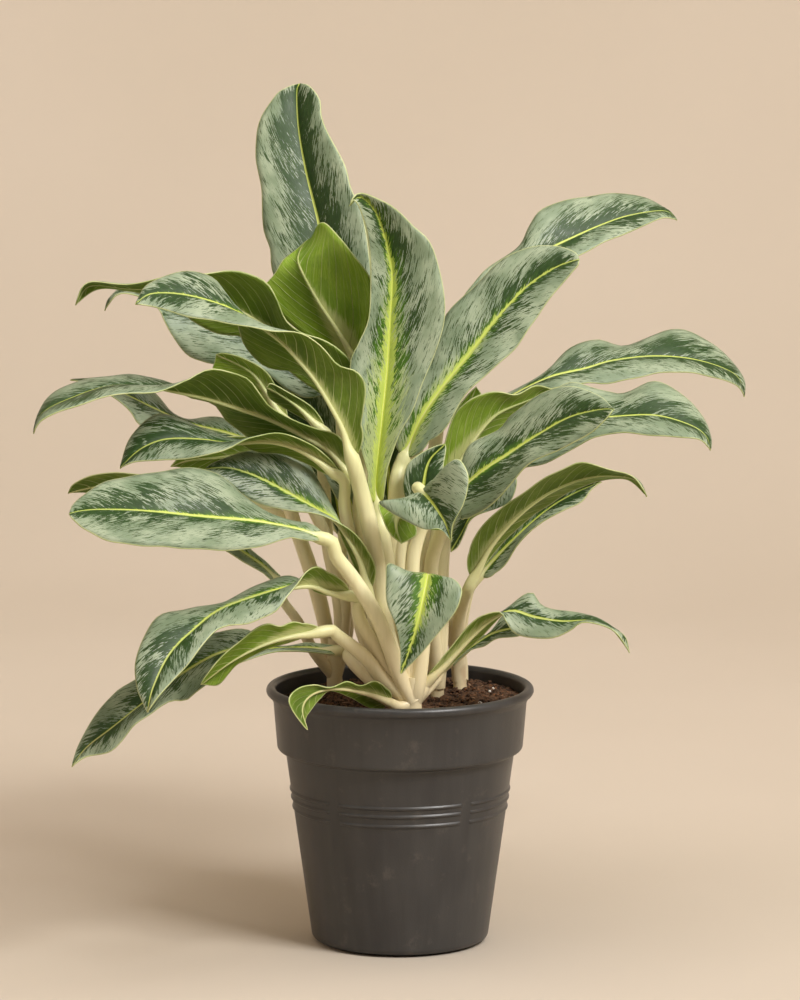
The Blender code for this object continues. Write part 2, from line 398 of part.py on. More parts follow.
# Each leaf stalk: its shoot, its radius at the blade and at the foot in millimetres, and its way down.
STALKS = {
    "leaf_01": (4, 4.0, 5.5, "-4.2 43 5, -3.6 39 4.5, -3 34 3.5, -2.4 28 2, -1.6 22 0.5, -1.2 18 -0.3"),
    "leaf_02": (4, 5.0, 6.5, "-1.6 31.4 -1.5, -1.2 29 -1.7, -0.9 26 -1.8, -1 22 -1.6, -1.1 18 -1"),
    "leaf_03": (4, 4.2, 5.5, "-3 41.5 2.5, -2.6 38 2.2, -2.2 33 1.5, -1.8 28 0.8, -1.4 22 0, "
        "-1.2 18 -0.4"),
    "leaf_04": (1, 5.5, 7.0, "-3.3 34.8 -4, -2.8 32.5 -3.9, -2.3 30.5 -3.8, -1.9 28.5 -3.8, -1.5 26 -4, "
        "-1.2 24 -4.3, -0.8 22 -4.6, -0.2 20 -5, 0.4 18 -5.4"),
    "leaf_05": (4, 4.2, 5.5, "-3.6 38.8 0.5, -3 36 0.2, -2.5 32 0, -2.1 28 -0.4, -1.6 23 -0.8, "
        "-1.2 19 -0.8"),
    "leaf_06": (4, 4.0, 5.5, "-5 39.5 3, -4 35 2.8, -3.2 30 2, -2.4 25 1, -1.6 20 0.2, -1.2 18 -0.2"),
    "leaf_07": (2, 3.8, 5.0, "-5.6 36.8 -0.2, -5.5 35.3 0.7, -5.3 32 1.6, -5.1 28.5 2.2, -4.6 26 2.6, "
        "-4.2 23.5 3.2, -4.3 21 4"),
    "leaf_08": (2, 3.8, 5.0, "-8.2 37.5 0.9, -8 33 1.6, -7.3 29.6 2.2, -6.2 26.2 3, -5.4 23.2 3.8, "
        "-4.9 20 4.3"),
    "leaf_09": (4, 4.2, 5.5, "-3.4 33.4 -2.4, -2.9 31 -2.4, -2.5 28 -2.3, -2 24 -2, -1.5 20 -1.2, "
        "-1.2 18 -0.8"),
    "leaf_10": (2, 3.8, 5.0, "-9.5 35.5 3.2, -8.3 32.3 3.3, -7 28.9 3.7, -5.9 25.6 4.1, -5.3 23 4.3, "
        "-4.8 20 4.4"),
    "leaf_11": (4, 4.0, 5.0, "-4.6 33.6 -2.9, -3.9 31 -2.8, -3.3 28 -2.4, -2.6 24 -1.8, -1.7 20 -1, "
        "-1.3 18 -0.7"),
    "leaf_12": (2, 3.8, 5.0, "-8 34.6 0, -6.5 31.8 0.7, -5.3 29.2 1.5, -4.7 26.8 2.2, -3.9 24.6 2.9, "
        "-4 22 3.7, -4.4 20 4.2"),
    "leaf_13": (1, 4.2, 5.5, "-2.3 25.4 -4.9, -1.9 23.8 -5, -1.2 21.5 -5.2, -0.3 19 -5.5, "
        "0.3 17.8 -5.6"),
    "leaf_14": (1, 4.8, 6.0, "-5.6 29.05 -7.4, -4.5 27.6 -7.2, -3.5 26.3 -7, -2.5 24.8 -6.8, "
        "-1.5 23 -6.6, -0.7 21 -6.3, -0.1 19.2 -6, 0.5 17.5 -5.8"),
    "leaf_15": (2, 3.6, 4.6, "-12.5 32 3.6, -9.8 31.2 3.8, -7.8 30 3.9, -6.7 27.4 4.1, -5.6 23.6 4.4, "
        "-4.9 20.5 4.6"),
    "leaf_16": (2, 3.0, 4.2, "-8.7 26 0.5, -8.3 24.5 1, -7.2 22.9 2, -6.1 20.8 3, -5.1 18.6 4"),
    "leaf_17": (1, 4.0, 5.2, "-3.7 24.9 -5.6, -3 23.5 -5.5, -2 21.5 -5.4, -1 19.5 -5.5, 0 18 -5.6"),
    "leaf_18": (1, 4.2, 5.5, "-4.6 20.9 -2, -3.5 20.2 -2.8, -1.8 18.6 -4.2, -0.2 17.4 -5.2"),
    "leaf_19": (1, 4.2, 5.5, "-5.8 22.25 -6.2, -4.5 22 -6.2, -2.5 20.4 -6, -1.2 18.8 -5.8, "
        "0.2 17.6 -5.7"),
    "leaf_20": (1, 3.5, 4.5, "-0.8 17.2 -6.4, -0.2 17.2 -6.2, 0.5 17.3 -5.9"),
    "leaf_21": (5, 4.2, 5.5, "4 44.5 8.5, 3 40 8, 2.3 34 7.4, 1.6 28 6.5, 1 21 5.6"),
    "leaf_22": (4, 5.5, 6.2, "0.3 34.8 2, -0.2 33 1.6, -0.3 31 1.2, -0.3 28 0.8, -0.5 24 0.2, "
        "-0.9 19 -0.3"),
    "leaf_23": (3, 4.0, 5.5, "5.5 37.5 7.5, 4.5 34 6.4, 3.4 30.5 5.5, 2.9 28 5, 3 25.5 4.6, 3.7 22.6 4, "
        "4.2 20 3.5"),
    "leaf_24": (6, 4.0, 5.2, "6 34.5 1, 4.6 32 1, 3.4 29.5 0.9, 3 27 0.8, 3 24 0.6, 2.8 20 0.5"),
    "leaf_25": (6, 4.5, 5.8, "4 32 -4.5, 3.2 30 -3.2, 2.3 27.5 -2, 2.2 24 -0.8, 2.5 20 0.3, 2.6 18 0.5"),
    "leaf_26": (6, 4.0, 5.2, "3.4 33 3.4, 2.9 31 2.8, 2.4 28 2, 2.5 24 1.2, 2.6 20 0.7"),
    "leaf_27": (3, 3.4, 4.5, "3.6 35 5.4, 3.1 32 4.6, 2.7 28.5 4, 3 25.6 3.8, 3.7 22.8 3.5, "
        "4.2 20.5 3.3"),
    "leaf_28": (4, 3.8, 5.0, "1.6 31.2 0, 1.3 28 0.4, 0.6 24 0.2, -0.6 19 -0.2"),
    "leaf_29": (1, 4.2, 5.2, "1.5 32.3 -6.2, 2.1 31.2 -4.8, 1.3 29 -4.5, 0.9 27 -4.7, 1 24 -4.9, "
        "1.1 20 -5.3, 1.1 18 -5.6"),
    "leaf_30": (1, 4.2, 5.2, "2 25.9 -6.8, 2 25 -6, 1.8 23 -5.7, 1.5 20 -5.6, 1.2 18 -5.7"),
    "leaf_31": (3, 4.0, 5.0, "5.2 26.2 -1.5, 4.4 24 0.3, 4.05 22 1.8, 4.1 20 2.8, 4.3 18 3.2"),
    "leaf_32": (1, 3.6, 4.6, "2.2 18.9 -5, 1.8 18.2 -5.2, 1.3 17.6 -5.5"),
    "leaf_33": (6, 3.4, 4.6, "6.5 33.5 -1, 5 32.6 -0.6, 3.6 30 -0.2, 2.9 27 0, 2.8 23 0.3, 2.7 20 0.4"),
    "leaf_34": (4, 3.6, 4.6, "-3.1 29.8 0.7, -3.3 27 0.9, -3.1 24.5 1, -2.8 22.5 0.9, -1.9 20 0.3"),
    "leaf_35": (4, 3.4, 4.6, "-2.5 31.8 -1.1, -2.1 32.4 -0.8, -1.6 31 -0.5, -1.4 27 -0.7, -1.3 22 -0.8"),
    "leaf_36": (1, 3.4, 4.6, "0.6 31.2 -5.2, 1 31.5 -4.5, 0.6 29.8 -4.2, 0.1 28 -4.5, 0.2 24 -4.9, "
        "0.6 20 -5.3"),
    "leaf_37": (3, 3.6, 4.6, "5.7 26.3 1, 4.8 24.9 1.5, 4.35 22.5 2.4, 4.2 20 3"),
    "leaf_38": (1, 3.0, 4.0, "3.6 20 -3.4, 2.6 18.8 -4.2, 1.6 17.8 -5.2"),
    "leaf_39": (2, 3.8, 4.8, "-4.1 29.3 4, -3.9 27.4 4.2, -3.6 24.8 4.3, -3.8 22 4.4, -4.4 19.8 4.4"),
    "leaf_40": (5, 3.6, 4.6, "-0.7 30.6 3.2, -0.5 27 3.8, 0 23 4.7, 0.6 20 5.2"),
}

# Shoots by number: x and y of the cane, its radius and the height of its top, in centimetres.
CANES = {
    1: (0.9, -5.6, 0.80, 20.0),
    2: (-4.7, 4.4, 0.70, 21.0),
    3: (4.3, 3.3, 0.60, 20.5),
    4: (-1.2, -0.5, 0.85, 21.0),
    5: (0.9, 5.4, 0.75, 22.0),
    6: (2.65, 0.5, 0.60, 21.0),
}

# Leaves behind the ones in view: heading from +X, height and distance of the blade's foot from the
# back shoot's axis, length, climb at the foot and at the tip in degrees, half width, in centimetres.
BACK_LEAVES = {
    "leaf_back_1": (50, 31.6, 6.4, 18.3, 60, -47, 3.3),
    "leaf_back_2": (85, 35.8, 5.1, 19.8, 48, -35, 3.6),
    "leaf_back_3": (111, 34.6, 7.0, 17.8, 43, -34, 3.3),
    "leaf_back_4": (70, 27.3, 5.6, 17.0, 50, -43, 3.1),
    "leaf_back_5": (100, 25.5, 5.8, 16.1, 35, -43, 3.2),
    "leaf_back_6": (147, 28.8, 7.0, 17.5, 30, -50, 3.1),
    "leaf_back_7": (98, 37.2, 3.5, 14.7, 70, 9, 3.0),
}
BACK_SHOOT = 5
BACK_STALK = (3.8, 5.0)
BACK_KNEE_REACH = 1.6
BACK_KNEE_HEIGHT = 0.35
BACK_TROUGH = 0.22
BACK_WAVE = 0.35
BACK_WAVES = 9.0
BACK_STATIONS = 9
BACK_BROAD_PLACE = 0.8
BACK_BROAD_POWER = 0.75


def clear_scene():
    for old in list(bpy.data.objects):
        bpy.data.objects.remove(old, do_unlink=True)


def material(name, colour, roughness, metallic=0.0):
    finish = bpy.data.materials.get(name)
    if finish is None:
        finish = bpy.data.materials.new(name)
        finish.use_nodes = True
        shader = finish.node_tree.nodes["Principled BSDF"]
        shader.inputs["Base Color"].default_value = (*colour, 1.0)
        shader.inputs["Roughness"].default_value = roughness
        shader.inputs["Metallic"].default_value = metallic
        finish.diffuse_color = (*colour, 1.0)
    return finish


def leaf_green():
    return material("leaf green", (0.22, 0.31, 0.16), 0.42)


def stem_cream():
    return material("stem cream", (0.62, 0.56, 0.33), 0.5)


def pot_black():
    return material("pot plastic", (0.035, 0.034, 0.033), 0.45)


def potting_soil():
    return material("potting soil", (0.055, 0.032, 0.02), 0.95)


def new_object(name, mesh, finish):
    mesh.materials.append(finish)
    made = bpy.data.objects.new(name, mesh)
    bpy.context.scene.collection.objects.link(made)
    return made


def mesh_of(name, vertices, faces):
    """A mesh in metres from rows of points and faces, with its faces pointing out."""
    shape = bmesh.new()
    corners = [shape.verts.new(point) for point in vertices]
    for face in faces:
        shape.faces.new([corners[index] for index in face])
    bmesh.ops.recalc_face_normals(shape, faces=shape.faces)
    mesh = bpy.data.meshes.new(name)
    shape.to_mesh(mesh)
    shape.free()
    return mesh


def points(text):
    return np.array([[float(number) for number in place.split()] for place in text.split(",")])


def smooth_line(marks, fractions):
    """The line through the marks, read at fractions of its length."""
    ends = np.vstack([2 * marks[0] - marks[1], marks, 2 * marks[-1] - marks[-2]])
    line = []
    for a, b, c, d in zip(ends, ends[1:], ends[2:], ends[3:]):
        for t in np.linspace(0.0, 1.0, CURVE_STEPS, endpoint=False):
            bend = 2 * a - 5 * b + 4 * c - d
            line.append(0.5 * (2 * b + (c - a) * t + bend * t**2 + (3 * b - a - 3 * c + d) * t**3))
    line.append(marks[-1])
    line = np.array(line)
    lengths = np.linalg.norm(np.diff(line[:, :2], axis=0), axis=1)
    run = np.concatenate([[0.0], np.cumsum(lengths)])
    return np.stack([np.interp(fractions, run / run[-1], column) for column in line.T], axis=1)


def in_space(places):
    """Front-view places (x, z, depth) slid along the line of sight to their depth, in centimetres.

    The leaves fan out: the farther a place is to one side, the farther it stands before or behind the axis.
    """
    depths = places[:, 2] * (1 + (np.abs(places[:, 0]) / FAN_REACH) ** FAN_POWER)
    reach = (depths - EYE[1]) / -EYE[1]
    heights = EYE[2] + (places[:, 1] - EYE[2]) * reach
    return np.stack([places[:, 0] * reach, depths, heights], axis=1)


def unit(vectors):
    return vectors / np.linalg.norm(vectors, axis=-1, keepdims=True)


def stations(count):
    """Fractions of a leaf's length, closer together towards its foot and its tip."""
    even = np.linspace(0.0, 1.0, count)
    return even - END_CROWDING * np.sin(2 * np.pi * even)


def seen_leaf(left, rib, right, lean):
    """Margin, midrib and margin of a leaf in space, station by station."""
    rib = points(rib)
    length = np.linalg.norm(np.diff(in_space(rib), axis=0), axis=1).sum() * CM
    fractions = stations(int(np.clip(length / (STATION_SPACING * MM) + 4, *STATIONS)))
    middle = smooth_line(rib, fractions)
    swell = np.sin(np.pi * fractions) ** LEAN_POWER
    sides = []
    for outline, offset in ((left, lean[0]), (right, lean[1])):
        marks = np.vstack([points(outline)[:, :2], middle[-1, :2]])
        flat = smooth_line(marks, fractions)
        sides.append(in_space(np.column_stack([flat, middle[:, 2] + offset * swell])))
    return sides[0], in_space(middle), sides[1]


def back_leaf(heading, height, distance, length, climb, tip_climb, half_width):
    """Margin, midrib and margin of a leaf that arches away from the back shoot."""
    fractions = stations(BACK_STATIONS)
    turn = math.radians(heading)
    outward = np.array([math.cos(turn), math.sin(turn), 0.0])
    across = np.array([math.sin(turn), -math.cos(turn), 0.0])
    climbs = np.radians(climb + (tip_climb - climb) * fractions)
    steps = np.diff(fractions) * length
    middle = [np.array([CANES[BACK_SHOOT][0], CANES[BACK_SHOOT][1], height]) + distance * outward]
    for step, angle in zip(steps, (climbs[1:] + climbs[:-1]) / 2):
        middle.append(middle[-1] + step * (math.cos(angle) * outward + math.sin(angle) * Vector((0, 0, 1))))
    middle = np.array(middle)
    rise = np.stack([-np.sin(climbs), np.zeros(BACK_STATIONS), np.cos(climbs)], axis=1)
    upper = rise[:, :1] * outward + rise[:, 2:] * np.array([0.0, 0.0, 1.0])
    broad = half_width * np.sin(np.pi * fractions**BACK_BROAD_PLACE) ** BACK_BROAD_POWER
    wave = BACK_WAVE * np.sin(fractions * BACK_WAVES + heading) * broad / half_width
    left = middle - broad[:, None] * across + (BACK_TROUGH * broad + wave)[:, None] * upper
    right = middle + broad[:, None] * across + (BACK_TROUGH * broad - wave)[:, None] * upper
    return left, middle, right


def blade(name, left, middle, right):
    """A leaf blade as a thin body with a rib along its underside, from its two margins and midrib."""
    count = len(middle)
    along = unit(np.gradient(middle, axis=0))
    upper = unit(np.cross(right - left + 1e-6, along))
    upper[-1] = upper[-2]
    upper[0] = upper[1]
    upper[0] = unit(upper[0] - along[0] * (upper[0] @ along[0]))
    foot_side = np.cross(along[0], upper[0]) * BLADE_FOOT_HALF_WIDTH * MM / CM
    left[0] = middle[0] - foot_side
    right[0] = middle[0] + foot_side
    sheet = bmesh.new()
    rows = []
    for station in range(count - 1):
        row = []
        for side, share in ((left, 1.0), (left, 0.5), (left, 0.0), (right, 0.5), (right, 1.0)):
            half = side[station] - middle[station]
            arch = 4 * share * (1 - share) * HALF_ARCH * np.linalg.norm(half) * upper[station]
            row.append(sheet.verts.new((middle[station] + half * share + arch) * CM))
        rows.append(row)
    tip = sheet.verts.new(middle[-1] * CM)
    for near, far in zip(rows, rows[1:]):
        for column in range(4):
            a, b, c, d = near[column], near[column + 1], far[column + 1], far[column]
            if column < 2:
                pair = ((a, b, c), (a, c, d))
            else:
                pair = ((a, b, d), (b, c, d))
            for corners in pair:
                sheet.faces.new(corners)
    for a, b in zip(rows[-1], rows[-1][1:]):
        sheet.faces.new((a, b, tip))
    mesh = bpy.data.meshes.new(name)
    sheet.to_mesh(mesh)
    sheet.free()
    made = new_object(name, mesh, leaf_green())
    depth = made.vertex_groups.new(name="depth")
    thin = BLADE / RIB_DEPTH
    for station in range(count - 1):
        taper = (1 - station / (count - 1)) ** RIB_TAPER
        rib = (RIB_DEPTH_TIP + (RIB_DEPTH - RIB_DEPTH_TIP) * taper) / RIB_DEPTH
        quarter = FOOT_QUARTER if station == 0 else thin
        for column, weight in enumerate((thin, quarter, rib, quarter, thin)):
            depth.add([station * 5 + column], weight, "REPLACE")
    depth.add([(count - 1) * 5], thin, "REPLACE")
    thickness = made.modifiers.new("thickness", "SOLIDIFY")
    thickness.thickness = RIB_DEPTH * MM
    thickness.offset = -1.0
    thickness.vertex_group = depth.name
    made.data.shade_smooth()
    return middle[0], along[0], upper[0]


def stalk(way, radius, foot_radius):
    """A round leaf stalk along a way in space, as a closed mesh object that starts with a straight lead."""
    lead = np.linalg.norm(way[1] - way[0])
    dense = smooth_line(way[1:], np.linspace(0.0, 1.0, STALK_SAMPLES))
    run = np.concatenate([[0.0], np.cumsum(np.linalg.norm(np.diff(dense, axis=0), axis=1))])
    count = max(3, round(run[-1] * CM / (STALK_POINT_SPACING * MM)) + 1)
    stops = np.linspace(0.0, run[-1], count)
    line = np.vstack([way[:1], np.stack([np.interp(stops, run, column) for column in dense.T], axis=1)])
    shares = np.concatenate([[0.0], (stops + lead) / (run[-1] + lead)])
    curve = bpy.data.curves.new("stalk", "CURVE")
    curve.dimensions = "3D"
    curve.bevel_depth = MM
    curve.bevel_resolution = 1
    curve.use_fill_caps = True
    spline = curve.splines.new("POLY")
    spline.points.add(len(line) - 1)
    for point, place, share in zip(spline.points, line, shares):
        point.co = (*(place * CM), 1.0)
        point.radius = radius + (foot_radius - radius) * share
    drawn = bpy.data.objects.new("stalk", curve)
    bpy.context.scene.collection.objects.link(drawn)
    bpy.context.view_layer.update()
    mesh = bpy.data.meshes.new_from_object(drawn.evaluated_get(bpy.context.evaluated_depsgraph_get()))
    bpy.data.objects.remove(drawn, do_unlink=True)
    shape = bmesh.new()
    shape.from_mesh(mesh)
    bmesh.ops.remove_doubles(shape, verts=shape.verts, dist=1e-6)
    bmesh.ops.recalc_face_normals(shape, faces=shape.faces)
    shape.to_mesh(mesh)
    shape.free()
    return bpy.data.objects.new("stalk", mesh)


def cane_mesh(name, number, clearance=0.0):
    """A short upright cane, tapering up, made larger all round by a clearance in millimetres."""
    x, y, radius, top = CANES[number]
    low = (CANE_FOOT - clearance) * MM
    high = top * CM + clearance * MM
    shape = bmesh.new()
    bmesh.ops.create_cone(
        shape,
        cap_ends=True,
        segments=CANE_SIDES,
        radius1=radius * CM + clearance * MM,
        radius2=radius * CM * CANE_TAPER + clearance * MM,
        depth=high - low,
    )
    bmesh.ops.translate(shape, vec=(x * CM, y * CM, (low + high) / 2), verts=shape.verts)
    mesh = bpy.data.meshes.new(name)
    shape.to_mesh(mesh)
    shape.free()
    return mesh


def apply_boolean(target, others, operation):
    """Joins or cuts the target with all the others in one go, and removes them."""
    group = bpy.data.collections.new("operands")
    bpy.context.scene.collection.children.link(group)
    for other in others:
        group.objects.link(other)
    join = target.modifiers.new(operation.lower(), "BOOLEAN")
    join.operation = operation
    join.operand_type = "COLLECTION"
    join.collection = group
    join.solver = "EXACT"
    bpy.context.view_layer.update()
    graph = bpy.context.evaluated_depsgraph_get()
    result = bpy.data.meshes.new_from_object(target.evaluated_get(graph))
    target.modifiers.clear()
    target.data = result
    for other in others:
        bpy.data.objects.remove(other, do_unlink=True)
    bpy.data.collections.remove(group)


def make_leaves():
    """All blades, and for each the way of its stalk from the blade's foot down."""
    ways = {number: [] for number in CANES}
    for name, (left, rib, right, lean) in LEAVES.items():
        foot, along, upper = blade(name, *seen_leaf(left, rib, right, lean))
        shoot, radius, foot_radius, way = STALKS[name]
        way = stalk_way(foot, along, upper, radius, in_space(points(way)), shoot)
        ways[shoot].append((radius, foot_radius, way))
    for name, leaf in BACK_LEAVES.items():
        foot, along, upper = blade(name, *back_leaf(*leaf))
        x, y, _, top = CANES[BACK_SHOOT]
        turn = math.radians(leaf[0])
        outward = np.array([math.cos(turn), math.sin(turn), 0.0])
        knee = np.array([x, y, top + (foot[2] - top) * BACK_KNEE_HEIGHT]) + BACK_KNEE_REACH * outward
        way = stalk_way(foot, along, upper, BACK_STALK[0], np.array([foot, knee]), BACK_SHOOT)
        ways[BACK_SHOOT].append((*BACK_STALK, way))
    return ways


def stalk_way(foot, along, upper, radius, way, shoot):
    """From just short of the blade's foot, in line with its midrib, down into the cane."""
    start = foot - along * STALK_GAP * MM / CM - upper * STALK_DROP * radius * MM / CM
    lead = start - along * STALK_LEAD * MM / CM
    x, y = CANES[shoot][:2]
    low = STALK_FOOT * MM / CM
    middle = [place for place in way[1:] if place[2] > low + STALK_CLEAR * MM / CM]
    last = ([lead] + middle)[-1]
    end = np.array([x, y, max(low, last[2] - STALK_SINK * MM / CM)])
    return np.vstack([start, lead, *middle, end])


def make_shoots(ways):
    """The cream shoots: a cane with the stalks of its leaves grown together."""
    for number, stalks in ways.items():
        shoot = new_object(f"shoot_{number}", cane_mesh(f"shoot_{number}", number), stem_cream())
        parts = [stalk(way, radius, foot_radius) for radius, foot_radius, way in stalks]
        apply_boolean(shoot, parts, "UNION")
        shoot.data.materials.clear()
        shoot.data.materials.append(stem_cream())
        shoot.data.shade_smooth()


def rib_rise(angle, height):
    """How far the thin ribs stand out of the pot's side at an angle in degrees and a height."""
    nearest = min(abs(height - rib) for rib in RIB_HEIGHTS)
    shape = max(0.0, 1 - nearest / RIB_HALF_WIDTH)
    pitch = 360.0 / RIB_ARCS
    from_middle = abs((angle + 90.0 + pitch / 2) % pitch - pitch / 2)
    fade = min(1.0, max(0.0, (RIB_ARC_HALF_ANGLE - from_middle) / RIB_FADE))
    return RIB_RISE * shape * fade


def body_radius(height):
    share = (height - BODY_FOOT[1]) / (BODY_TOP[1] - BODY_FOOT[1])
    return BODY_FOOT[0] + (BODY_TOP[0] - BODY_FOOT[0]) * share


def outer_profile():
    """Radius and height of the pot's underside, side and bead, from the middle of the underside."""
    inner, outer = FOOT_RING
    profile = [(CENTRE_PAD_RADIUS, 0.0), (CENTRE_PAD_RADIUS + CENTRE_PAD_SLOPE, UNDERSIDE_RECESS)]
    profile += [(inner - FOOT_RING_SLOPE, UNDERSIDE_RECESS), (inner, 0.0), (outer, 0.0)]
    profile += [(BODY_FOOT[0] - BODY_FOOT_CHAMFER[0], BODY_FOOT_CHAMFER[1]), BODY_FOOT]
    for rib in RIB_HEIGHTS:
        for offset in (-RIB_HALF_WIDTH, 0.0, RIB_HALF_WIDTH):
            profile.append((body_radius(rib + offset), rib + offset))
    under_collar = (COLLAR_FOOT[0] - COLLAR_CHAMFER[0], COLLAR_FOOT[1] - COLLAR_CHAMFER[1])
    profile += [BODY_TOP, under_collar, COLLAR_FOOT, COLLAR_TOP]
    middle = POT_RIM_RADIUS - BEAD_RADIUS
    for turn in BEAD_TURNS:
        angle = math.radians(turn)
        profile.append(
            (middle + BEAD_RADIUS * math.cos(angle), POT_RIM_HEIGHT + BEAD_RADIUS * math.sin(angle))
        )
    return profile


def inner_profile(inset):
    """The pot's inside from under the bead down to the floor, moved in by an inset."""
    collar_top = (COLLAR_TOP[0] - inset, COLLAR_TOP[1])
    collar_foot = (COLLAR_FOOT[0] - inset, COLLAR_FOOT[1] + INNER_LEDGE_RISE)
    ledge = (COLLAR_FOOT[0] - INNER_LEDGE[0] - inset, COLLAR_FOOT[1] - INNER_LEDGE[1])
    body_top = (BODY_TOP[0] - inset, BODY_TOP[1] + INNER_LEDGE_RISE)
    foot = body_radius(FLOOR_TOP + FLOOR_CHAMFER[1]) - inset
    return [collar_top, collar_foot, ledge, body_top, (foot, FLOOR_TOP + FLOOR_CHAMFER[1])]


def turned(name, profile, ends, shift=None):
    """A closed turned body: rings of points with a middle point at each end of the profile."""
    vertices = []
    for radius, height in profile:
        for step in range(POT_SEGMENTS):
            angle = 360.0 * step / POT_SEGMENTS
            turn = math.radians(angle)
            place = Vector((radius * math.cos(turn), radius * math.sin(turn), height))
            if shift is not None:
                place += shift(angle, place)
            vertices.append(place * MM)
    faces = []
    for ring in range(len(profile) - 1):
        for step in range(POT_SEGMENTS):
            after = (step + 1) % POT_SEGMENTS
            low, high = ring * POT_SEGMENTS, (ring + 1) * POT_SEGMENTS
            faces.append((low + step, low + after, high + after, high + step))
    for ring, height in zip((0, len(profile) - 1), ends):
        middle = Vector((0.0, 0.0, height))
        if shift is not None:
            middle += shift(0.0, middle)
        vertices.append(middle * MM)
        for step in range(POT_SEGMENTS):
            after = (step + 1) % POT_SEGMENTS
            faces.append((ring * POT_SEGMENTS + step, ring * POT_SEGMENTS + after, len(vertices) - 1))
    return mesh_of(name, vertices, faces)


def box_cutter(name, size, place, angle):
    shape = bmesh.new()
    bmesh.ops.create_cube(shape, size=1.0)
    bmesh.ops.scale(shape, vec=Vector(size) * MM, verts=shape.verts)
    cutter = bpy.data.objects.new(name, bpy.data.meshes.new(name))
    shape.to_mesh(cutter.data)
    shape.free()
    cutter.location = Vector(place) * MM
    cutter.rotation_euler.z = math.radians(angle)
    return cutter


def make_pot():
    """The nursery pot: one thin plastic shell with a rolled rim, a collar, thin ribs and a ringed foot."""
    profile = outer_profile() + [(COLLAR_TOP[0] - WALL, POT_RIM_HEIGHT)] + inner_profile(WALL)
    profile.append((profile[-1][0] - FLOOR_CHAMFER[0], FLOOR_TOP))

    def ribs(angle, place):
        outside = math.hypot(place.x, place.y) > body_radius(place.z) - 0.5 * WALL
        on_body = BODY_FOOT[1] < place.z < BODY_TOP[1]
        if not (outside and on_body):
            return Vector()
        turn = math.radians(angle)
        return rib_rise(angle, place.z) * Vector((math.cos(turn), math.sin(turn), 0.0))

    pot = new_object("pot", turned("pot", profile, (0.0, FLOOR_TOP), ribs), pot_black())
    cutters = []
    for number in range(DRAIN_HOLES):
        turn = 2 * math.pi * (number + 0.5) / DRAIN_HOLES
        shape = bmesh.new()
        bmesh.ops.create_cone(
            shape,
            cap_ends=True,
            segments=DRAIN_SIDES,
            radius1=DRAIN_RADIUS * MM,
            radius2=DRAIN_RADIUS * MM,
            depth=4 * FLOOR_TOP * MM,
        )
        hole = bpy.data.objects.new("drain hole", bpy.data.meshes.new("drain hole"))
        shape.to_mesh(hole.data)
        shape.free()
        hole.location = Vector((math.cos(turn), math.sin(turn), 0.0)) * DRAIN_CIRCLE * MM
        cutters.append(hole)
    for number in range(FOOT_NOTCHES):
        angle = FOOT_NOTCH_ANGLE + 360.0 * number / FOOT_NOTCHES
        turn = math.radians(angle)
        middle = (FOOT_RING[0] + FOOT_RING[1]) / 2
        place = (middle * math.cos(turn), middle * math.sin(turn), 0.0)
        cutters.append(box_cutter("foot notch", FOOT_NOTCH, place, angle))
    apply_boolean(pot, cutters, "DIFFERENCE")
    pot.data.shade_smooth()
    pot.data.set_sharp_from_angle(angle=math.radians(POT_SHARP_ANGLE))


def soil_height(x, y):
    """The crumbly top of the soil: higher at the right and back, with lumps a few millimetres across."""
    edge = math.hypot(x, y) / (COLLAR_TOP[0] - WALL)
    mound = SOIL_MOUND * (1 - edge**2) + SOIL_TILT * (x + y) / POT_RIM_RADIUS
    lumps = 0.0
    for frequency, weight, layer in (LARGE_LUMPS, SMALL_LUMPS):
        lumps += weight * noise.noise(Vector((x, y, layer)) * frequency)
    return SOIL_TOP + mound + CRUMB_HEIGHT * lumps


def make_soil():
    """The soil fills the pot, with a plain hole round each cane."""
    wall = inner_profile(WALL + GAP)
    rim = (wall[0][0] - GAP, SOIL_TOP)
    profile = [(rim[0] * ring / SOIL_RINGS, SOIL_TOP) for ring in range(1, SOIL_RINGS)] + [rim]
    profile += wall[1:]
    profile.append((wall[-1][0] - FLOOR_CHAMFER[0], FLOOR_TOP + GAP))

    def crumbs(angle, place):
        if place.z < SOIL_TOP - 0.1:
            return Vector()
        return Vector((0.0, 0.0, soil_height(place.x, place.y) - SOIL_TOP))

    soil = new_object("soil", turned("soil", profile, (SOIL_TOP, FLOOR_TOP + GAP), crumbs), potting_soil())
    holes = []
    for number in CANES:
        hole = bpy.data.objects.new("cane hole", cane_mesh("cane hole", number, GAP))
        holes.append(hole)
    apply_boolean(soil, holes, "DIFFERENCE")


def main():
    clear_scene()
    ways = make_leaves()
    make_shoots(ways)
    make_pot()
    make_soil()


main()
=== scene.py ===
import math
import random

import bmesh
import bpy
import numpy as np
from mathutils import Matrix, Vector, noise


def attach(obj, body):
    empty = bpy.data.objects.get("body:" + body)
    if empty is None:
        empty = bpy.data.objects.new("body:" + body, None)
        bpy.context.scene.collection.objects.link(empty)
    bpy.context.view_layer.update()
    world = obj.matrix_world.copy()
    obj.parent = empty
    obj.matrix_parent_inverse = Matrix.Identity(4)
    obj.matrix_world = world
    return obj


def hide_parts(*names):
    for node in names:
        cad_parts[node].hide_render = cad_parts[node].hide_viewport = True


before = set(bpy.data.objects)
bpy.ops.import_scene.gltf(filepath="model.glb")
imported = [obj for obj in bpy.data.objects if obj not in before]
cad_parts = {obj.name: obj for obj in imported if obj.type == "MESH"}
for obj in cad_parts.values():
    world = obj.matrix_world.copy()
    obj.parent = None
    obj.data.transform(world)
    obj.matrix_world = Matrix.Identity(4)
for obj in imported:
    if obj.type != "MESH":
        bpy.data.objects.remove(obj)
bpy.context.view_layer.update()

bpy.ops.object.select_all(action="DESELECT")
MM = 0.001
CM = 0.01

